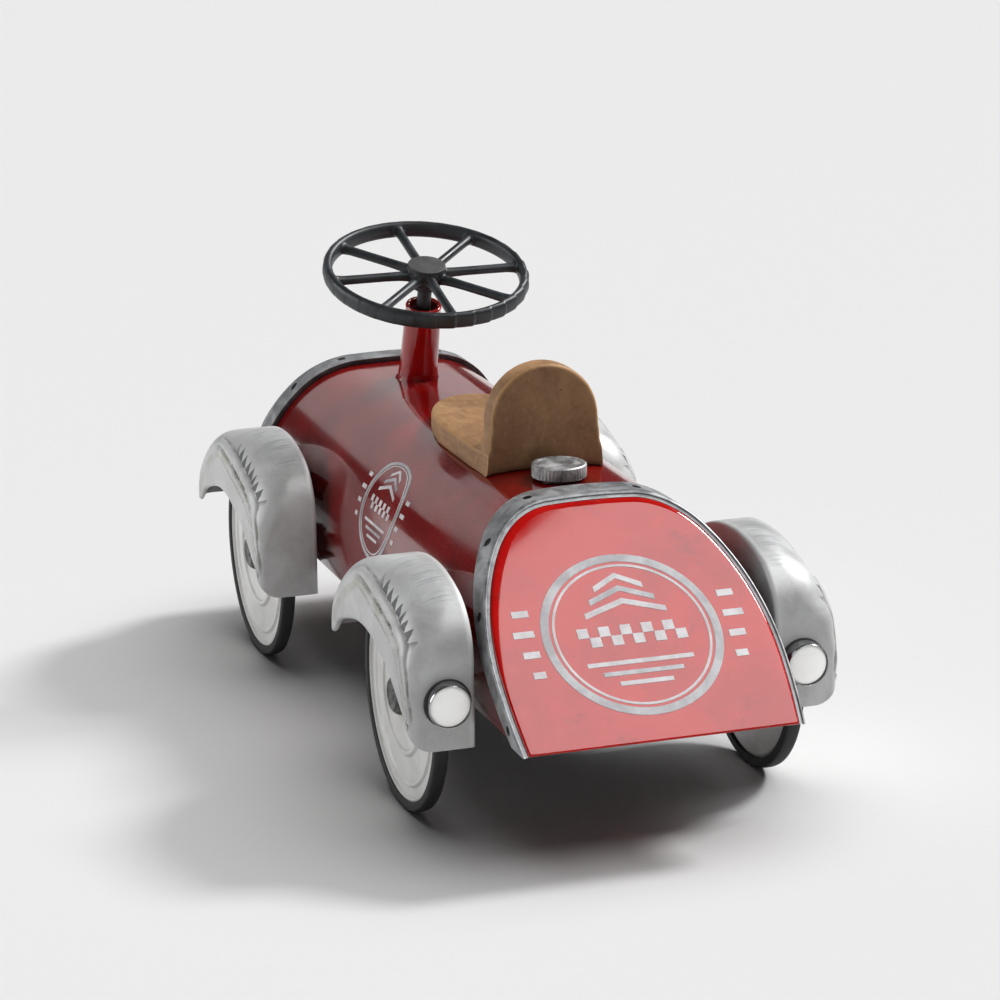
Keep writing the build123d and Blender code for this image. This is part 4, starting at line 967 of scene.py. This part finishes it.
STEER = next(j for j in frame["joints"] if j["name"] == "steering_turn")
STEER_AXIS = Vector(STEER["axis"]).normalized()
COLUMN_FOOT = Vector(STEER["pos_m"]) / MM
HUB_DISTANCE = 111.8
RIM_R, RIM_WIDTH, RIM_HEIGHT, RIM_SQUARE = 85.6, 4.4, 7.4, 0.85
SPOKE_DROP = 9.1
# Distance from the axis, half width, height above and depth below the spoke's middle.
SPOKE = ((10.6, 5.4, 4.6, 8.0), (14.0, 5.0, 4.4, 6.8), (18.0, 4.5, 4.0, 5.6), (24.0, 4.1, 3.8, 4.8),
         (36.0, 3.9, 3.7, 4.3), (60.0, 3.9, 3.7, 4.3), (74.0, 4.1, 3.8, 4.4), (80.0, 4.8, 4.3, 5.2),
         (84.5, 5.8, 5.2, 6.4))
RIDGE_PITCH, RIDGE_RISE, RIDGE_DEPTH, RIDGE_MIDDLE = 11.25, 0.86, 1.15, 225.0


def steering_casting():
    """Hub, eight flared spokes and a rim, fused into one skin about Z."""
    skin = Skin()
    hub = rounded([(4.2, -8.5), (10.0, -8.5), (10.0, -1.4), (16.2, -1.4), (16.6, -5.0), (14.6, -12.0),
                   (12.2, -22.0), (6.4, -22.0), (6.4, -12.5), (4.2, -12.5)], 0.4, 3, closed=True)
    skin.grid(spun(hub[:, :1], hub[:, 1:], circle(96)), wrap_rows=True, wrap_columns=True)
    across, up = [np.sign(f(circle(28))) * np.abs(f(circle(28))) ** RIM_SQUARE for f in (np.cos, np.sin)]
    rim = spun((RIM_R + across * RIM_WIDTH)[:, None], (up * RIM_HEIGHT - SPOKE_DROP)[:, None], circle(256))
    skin.grid(rim, wrap_rows=True, wrap_columns=True)
    for spin in np.arange(8) * pi / 4:
        rings = np.array([[(r * cos(spin) - wide * cos(t) * sin(spin),
                            r * sin(spin) + wide * cos(t) * cos(spin),
                            (tall if sin(t) > 0 else lower) * sin(t) - SPOKE_DROP) for t in circle(20)]
                          for r, wide, tall, lower in SPOKE])
        skin.grid(rings, wrap_columns=True)
        skin.caps(rings)
    return remeshed(skin.build("steering_wheel_casting"), 0.85, 6)


def steering_wheel():
    """Cast wheel with finger ridges, strongest on the part that the hands polish, and its cover."""
    obj = steering_casting()
    mesh = obj.data
    co = vertex_places(mesh) / MM
    radius = np.hypot(co[:, 0], co[:, 1])
    theta = np.degrees(np.arctan2(co[:, 1], co[:, 0])) % 360
    saw = (theta / RIDGE_PITCH) % 1.0
    crest = np.where(saw < RIDGE_RISE, saw / RIDGE_RISE, (1 - saw) / (1 - RIDGE_RISE))
    around = 0.28 + 0.72 * smooth_step(np.cos(np.radians(theta - RIDGE_MIDDLE)), 0.3, 0.8)
    push = (crest - 0.9) * RIDGE_DEPTH * around * smooth_step(radius, RIM_R - 0.5, RIM_R + 2.0)
    co[:, :2] += push[:, None] * co[:, :2] / radius[:, None]
    mesh.vertices.foreach_set("co", (co * MM).ravel())
    place = axis_place(COLUMN_FOOT + STEER_AXIS * HUB_DISTANCE, STEER_AXIS)
    mesh.transform(Matrix.Scale(MM, 4) @ place @ Matrix.Scale(1 / MM, 4))
    mesh.update()
    stand_in(obj, "steering", WHEEL_GRIP, "steering_black", "steering_wheel")
    cover = rounded([(0, -2.6), (9.6, -2.6), (9.6, -1.35), (16.3, -1.35), (16.5, -0.6), (15.9, 0), (0, 0)],
                    [0, 0.2, 0.1, 0.3, 0.4, 0.6, 0], 3)
    lathe("steering_hub_cover", "steering", HUB_PLUG, "steering_black", "steering_wheel_cap", place, cover,
          closed=False)


def column():
    """Tapered tube with a rolled mouth and a flared foot."""
    length, foot = 73.0, -14.0
    profile = rounded([(12.0, foot), (12.0, length - 1.0), (13.2, length), (15.0, length),
                       (15.9, length - 1.6), (15.3, length - 3.6), (15.6, length - 7.0), (16.9, 10.0),
                       (17.9, 2.5), (19.6, -2.0), (19.6, foot)],
                      [0, 0.8, 0.6, 0.8, 1.2, 1.0, 3.0, 12, 5, 1.0, 0], 6, closed=True)
    skin = turned(profile, 96, closed=True)
    place = axis_place(COLUMN_FOOT, STEER_AXIS)
    for points in skin.points:
        # Level the foot with the body's crown.
        world = np.array([place @ Vector(p) for p in points])
        floor = BODY_TOP - 1.2 - (CROWN_R - np.sqrt(CROWN_R ** 2 - world[:, 1] ** 2))
        low = world[:, 2] < floor
        points[low, 2] += ((floor - world[:, 2]) / STEER_AXIS.z)[low]
    stand_in(skin.build("column_sleeve", place, sharp=40), "car", RED_COLUMN, "red_paint", "column_tube")


steering_wheel()
column()


# ---------------------------------------------------------------- seat, cap and lamps

def evened(mesh, rounds):
    """Vertices after rounds of moving towards the mean of their neighbours."""
    co = vertex_places(mesh)
    edges = np.zeros(len(mesh.edges) * 2, np.int64)
    mesh.edges.foreach_get("vertices", edges)
    edges = edges.reshape(-1, 2)
    degree = np.bincount(edges.ravel(), minlength=len(co))[:, None]
    for _ in range(rounds):
        total = np.zeros_like(co)
        np.add.at(total, edges[:, 0], co[edges[:, 1]])
        np.add.at(total, edges[:, 1], co[edges[:, 0]])
        co = co * 0.4 + total / degree * 0.6
    return co


def seat():
    """The seat's solid, fused and evened so that every edge is rounded, with its upper edges marked for a
    painted highlight.
    """
    mesh = frame["nodes"]["seat"].data.copy()
    mesh.materials.clear()
    obj = bpy.data.objects.new("seat_moulding", mesh)
    bpy.context.scene.collection.objects.link(obj)
    remeshed(obj, 1.5)
    mesh = obj.data
    start = vertex_places(mesh)
    co = evened(mesh, 11)
    moved = np.linalg.norm(co - start, axis=1) / MM
    # The pan narrows into the backrest at its rear corners.
    back_x, top_z, half_width = box("seat")[0][0], 277.5, 45.5
    narrow = half_width + 0.09 * (top_z - co[:, 2] / MM)
    near_back = 1 - smooth_step(co[:, 0] / MM, back_x + 8, back_x + 46)
    excess = np.maximum(0, np.abs(co[:, 1]) / MM - narrow) * near_back
    co[:, 1] -= np.sign(co[:, 1]) * excess * MM
    mesh.vertices.foreach_set("co", co.ravel())
    # Upper edges that the evening moved most get a painted highlight.
    edge_wear_and_highlight = smooth_step(moved, 0.35, 1.1) * smooth_step(start[:, 2] / MM, 228, 238)
    mesh.attributes.new("edge_wear_and_highlight", "FLOAT", "POINT").data.foreach_set("value", edge_wear_and_highlight.astype(np.float32))
    mesh.update()
    stand_in(obj, "car", HIDE, "seat_tan", "seat")


def fuel_cap():
    """Knurled cap with a dished top."""
    low, high = box("fuel_cap")
    centre, radius, height = (low + high) / 2, (high[0] - low[0]) / 2, high[2] - low[2]
    ribs_round = 44
    profile = rounded([(15.1, 0), (radius - 0.8, 0), (radius, 1.0), (radius, height - 1.0),
                       (radius - 1.2, height), (radius - 2.8, height - 0.25), (radius - 4.6, height - 1.3),
                       (9.0, height - 2.0), (0, height - 2.3), (0, height - 3.35), (15.1, height - 3.35)],
                      [0.2, 0.5, 0.8, 0.8, 0.8, 0.8, 1.2, 3, 0, 0, 0.3], 5, closed=True)

    def knurl(radii, heights, angle):
        ribs = 0.5 + 0.5 * np.cos(angle * ribs_round)
        middle = smooth_step(heights, 0.6, 2.0) * (1 - smooth_step(heights, height - 2.4, height - 0.9))
        return radii - smooth_step(radii, radius - 1.0, radius - 0.2) * middle * 0.75 * (1 - ribs ** 0.6)

    lathe("fuel_cap_knurled", "filler_cap", CAP, "cap_metal", "fuel_cap",
          axis_place((centre[0], centre[1], low[2]), (0, 0, 1)), profile, 8 * ribs_round, 50, wobble=knurl)


def lamp(side_name):
    """Chrome housing with a rolled rim and a milky dome. Heights run backwards from the fender."""
    low, high = box(f"lamp_housing_{side_name}")
    centre, radius, depth = (low + high) / 2, (high[2] - low[2]) / 2, high[0] - low[0]
    place = axis_place((high[0], centre[1], centre[2] + 1.2), (-1, 0, 0), (0, 0, 1))
    # The barrel droops: its front sits lower and further out than its foot.
    outwards = 0.12 if side_name == "left" else -0.12
    place = place @ Matrix(((1, 0, -0.16, 0), (0, 1, outwards, 0), (0, 0, 1, 0), (0, 0, 0, 1)))
    housing = rounded([(2.3, 0), (radius - 0.6, 0), (radius, 0.8), (radius, depth - 1.6),
                       (radius - 0.5, depth), (radius - 0.8, depth - 1.0), (radius - 0.8, 2.2), (2.3, 2.2)],
                      [0.2, 0.4, 0.5, 0.5, 0.2, 0.3, 0.4, 0.2], 5, closed=True)
    lathe(f"lamp_housing_{side_name}_spun", "car", CHROME, "lamp_chrome", f"lamp_housing_{side_name}", place,
          housing, sharp=45)
    lens_low, lens_high = box(f"lamp_lens_{side_name}")
    lens_r = radius - 0.9
    start, end = high[0] - lens_high[0], high[0] - lens_low[0]
    dome = [(lens_r * cos(t), start + 1.4 + (end - start - 1.4) * sin(t)) for t in np.linspace(0, pi / 2, 16)]
    profile = [(0, start), (lens_r - 0.3, start), (lens_r, start + 0.4)] + dome[:-1] + [(0, end)]
    lathe(f"lamp_lens_{side_name}_dome", "car", LENS, "lens_opal", f"lamp_lens_{side_name}", place, profile,
          sharp=60, closed=False)


seat()
fuel_cap()
for side_name in ("left", "right"):
    lamp(side_name)


# ---------------------------------------------------------------- CAD nodes that stay

KEPT = {
    "body_shell": RED_BODY_SHADED, "front_panel": RED_PANEL_LIT, "grille": GRILLE, "lamp_gaskets": GASKET,
    "rear_trim": TRIM, "front_trim": TRIM, "rear_trim_screws": SCREW, "front_trim_screws": SCREW,
    **dict.fromkeys(("floor_pan", "rear_axle_hangers", "front_axle_beam", "knuckle_left", "knuckle_right",
                     "steering_shaft", "fender_stays"), DARK_STEEL),
    **dict.fromkeys(("rear_axle", "kingpins", "tie_rod_pins", "filler_neck"), STEEL),
    **dict.fromkeys(("chassis_bolts", "tie_rod", "steering_nut", "fender_bolts", "seat_bolts", "lamp_screws"),
                    ZINC),
    **dict.fromkeys(("rear_axle_spacers", "column_bush", "shaft_bearing"), NYLON),
}
for name, node in frame["nodes"].items():
    material = NYLON if name.startswith("wheel_bush") else KEPT.get(name)
    if material:
        coat(node, material)


# ---------------------------------------------------------------- floor, light and camera

def plain_floor():
    """Wide pale floor."""
    mesh = bpy.data.meshes.new("floor")
    reach = 60.0
    corners = [(-reach, -reach, 0), (reach, -reach, 0), (reach, reach, 0), (-reach, reach, 0)]
    mesh.from_pydata(corners, [], [(0, 1, 2, 3)])
    floor = bpy.data.objects.new("floor", mesh)
    bpy.context.scene.collection.objects.link(floor)
    s = Surface("floor_paper")
    s.set(Base_Color=(0.86, 0.86, 0.86, 1), Roughness=0.9, Specular_IOR_Level=0.1)
    mesh.materials.append(s.material)
    return floor


def light(name, kind, energy, location, target, **settings):
    data = bpy.data.lights.new(name, kind)
    data.energy = energy
    for key, value in settings.items():
        setattr(data, key, value)
    obj = bpy.data.objects.new(name, data)
    obj.location = location
    obj.rotation_euler = (Vector(target) - Vector(location)).to_track_quat("-Z", "Y").to_euler()
    bpy.context.scene.collection.objects.link(obj)
    return obj


def sun(name, energy, location, target, degrees):
    return light(name, "SUN", energy, location, target, angle=radians(degrees))


def softbox(name, energy, location, target, across, tall):
    return light(name, "AREA", energy, location, target, shape="RECTANGLE", size=across, size_y=tall)


# Places in this section are in metres. The floor and the car have lights of their own.
floor = plain_floor()
floor_lights = [
    sun("floor_key", 1.72, (0.22, -0.95, 0.87), (0, 0, 0), 12),
    sun("floor_sky", 1.86, (0.12, -0.3, 1.0), (0, 0, 0), 78),
]
car_lights = [
    sun("car_key", 3.5, (0.35, -0.95, 1.0), (0, 0, 0.1), 18),
    softbox("overhead", 40, (-1.24, -1.22, 2.4), (-1.24, -1.22, 0), 2.2, 1.66),
    softbox("front_softbox", 4.2, (2.9, 0.1, 1.1), (0, 0, 0.2), 2.5, 0.95),
    softbox("side_softbox", 42, (1.0, 2.7, 1.2), (0, 0, 0.15), 2.4, 1.6),
    softbox("back_softbox", 5, (-2.6, 1.4, 1.5), (0, 0, 0.15), 2.4, 1.6),
]
# The overhead's near edge is mirrored across the upper left corner of the rear panel.
bpy.data.objects["overhead"].rotation_euler = (0, 0, radians(-55.3))
on_car = bpy.data.collections.new("lit_car")
on_floor = bpy.data.collections.new("lit_floor")
for obj in bpy.context.scene.objects:
    if obj.type == "MESH":
        (on_floor if obj is floor else on_car).objects.link(obj)
for sources, receivers in ((floor_lights, on_floor), (car_lights, on_car)):
    for source in sources:
        source.light_linking.receiver_collection = receivers

world = bpy.data.worlds.new("studio")
bpy.context.scene.world = world
world.use_nodes = True
tree = world.node_tree
background = next(n for n in tree.nodes if n.type == "BACKGROUND")
background.inputs["Color"].default_value = (0.84, 0.84, 0.84, 1)
# The camera sees a backdrop as pale as the floor; everything else sees a dim studio.
rays = tree.nodes.new("ShaderNodeLightPath")
strength = tree.nodes.new("ShaderNodeMapRange")
strength.inputs["To Min"].default_value = 0.06
strength.inputs["To Max"].default_value = 1.0
tree.links.new(rays.outputs["Is Camera Ray"], strength.inputs["Value"])
tree.links.new(strength.outputs["Result"], background.inputs["Strength"])

camera_data = bpy.data.cameras.new("camera")
camera_data.lens = 130.56
camera_data.sensor_width = 36
camera_data.clip_end = 200
camera = bpy.data.objects.new("camera", camera_data)
forward = Vector((0.9127, -0.3105, -0.2655)).normalized()
right = Vector((-0.3221, -0.9467, 0)).normalized()
up = right.cross(forward)
roll = -0.0096
tilted_right = right * cos(roll) + up * sin(roll)
tilted_up = up * cos(roll) - right * sin(roll)
camera.matrix_world = Matrix(((tilted_right.x, tilted_up.x, -forward.x, -2.7485),
                              (tilted_right.y, tilted_up.y, -forward.y, 0.9341),
                              (tilted_right.z, tilted_up.z, -forward.z, 0.9811),
                              (0, 0, 0, 1)))
bpy.context.scene.collection.objects.link(camera)
bpy.context.scene.camera = camera
bpy.context.scene.view_settings.view_transform = "Standard"
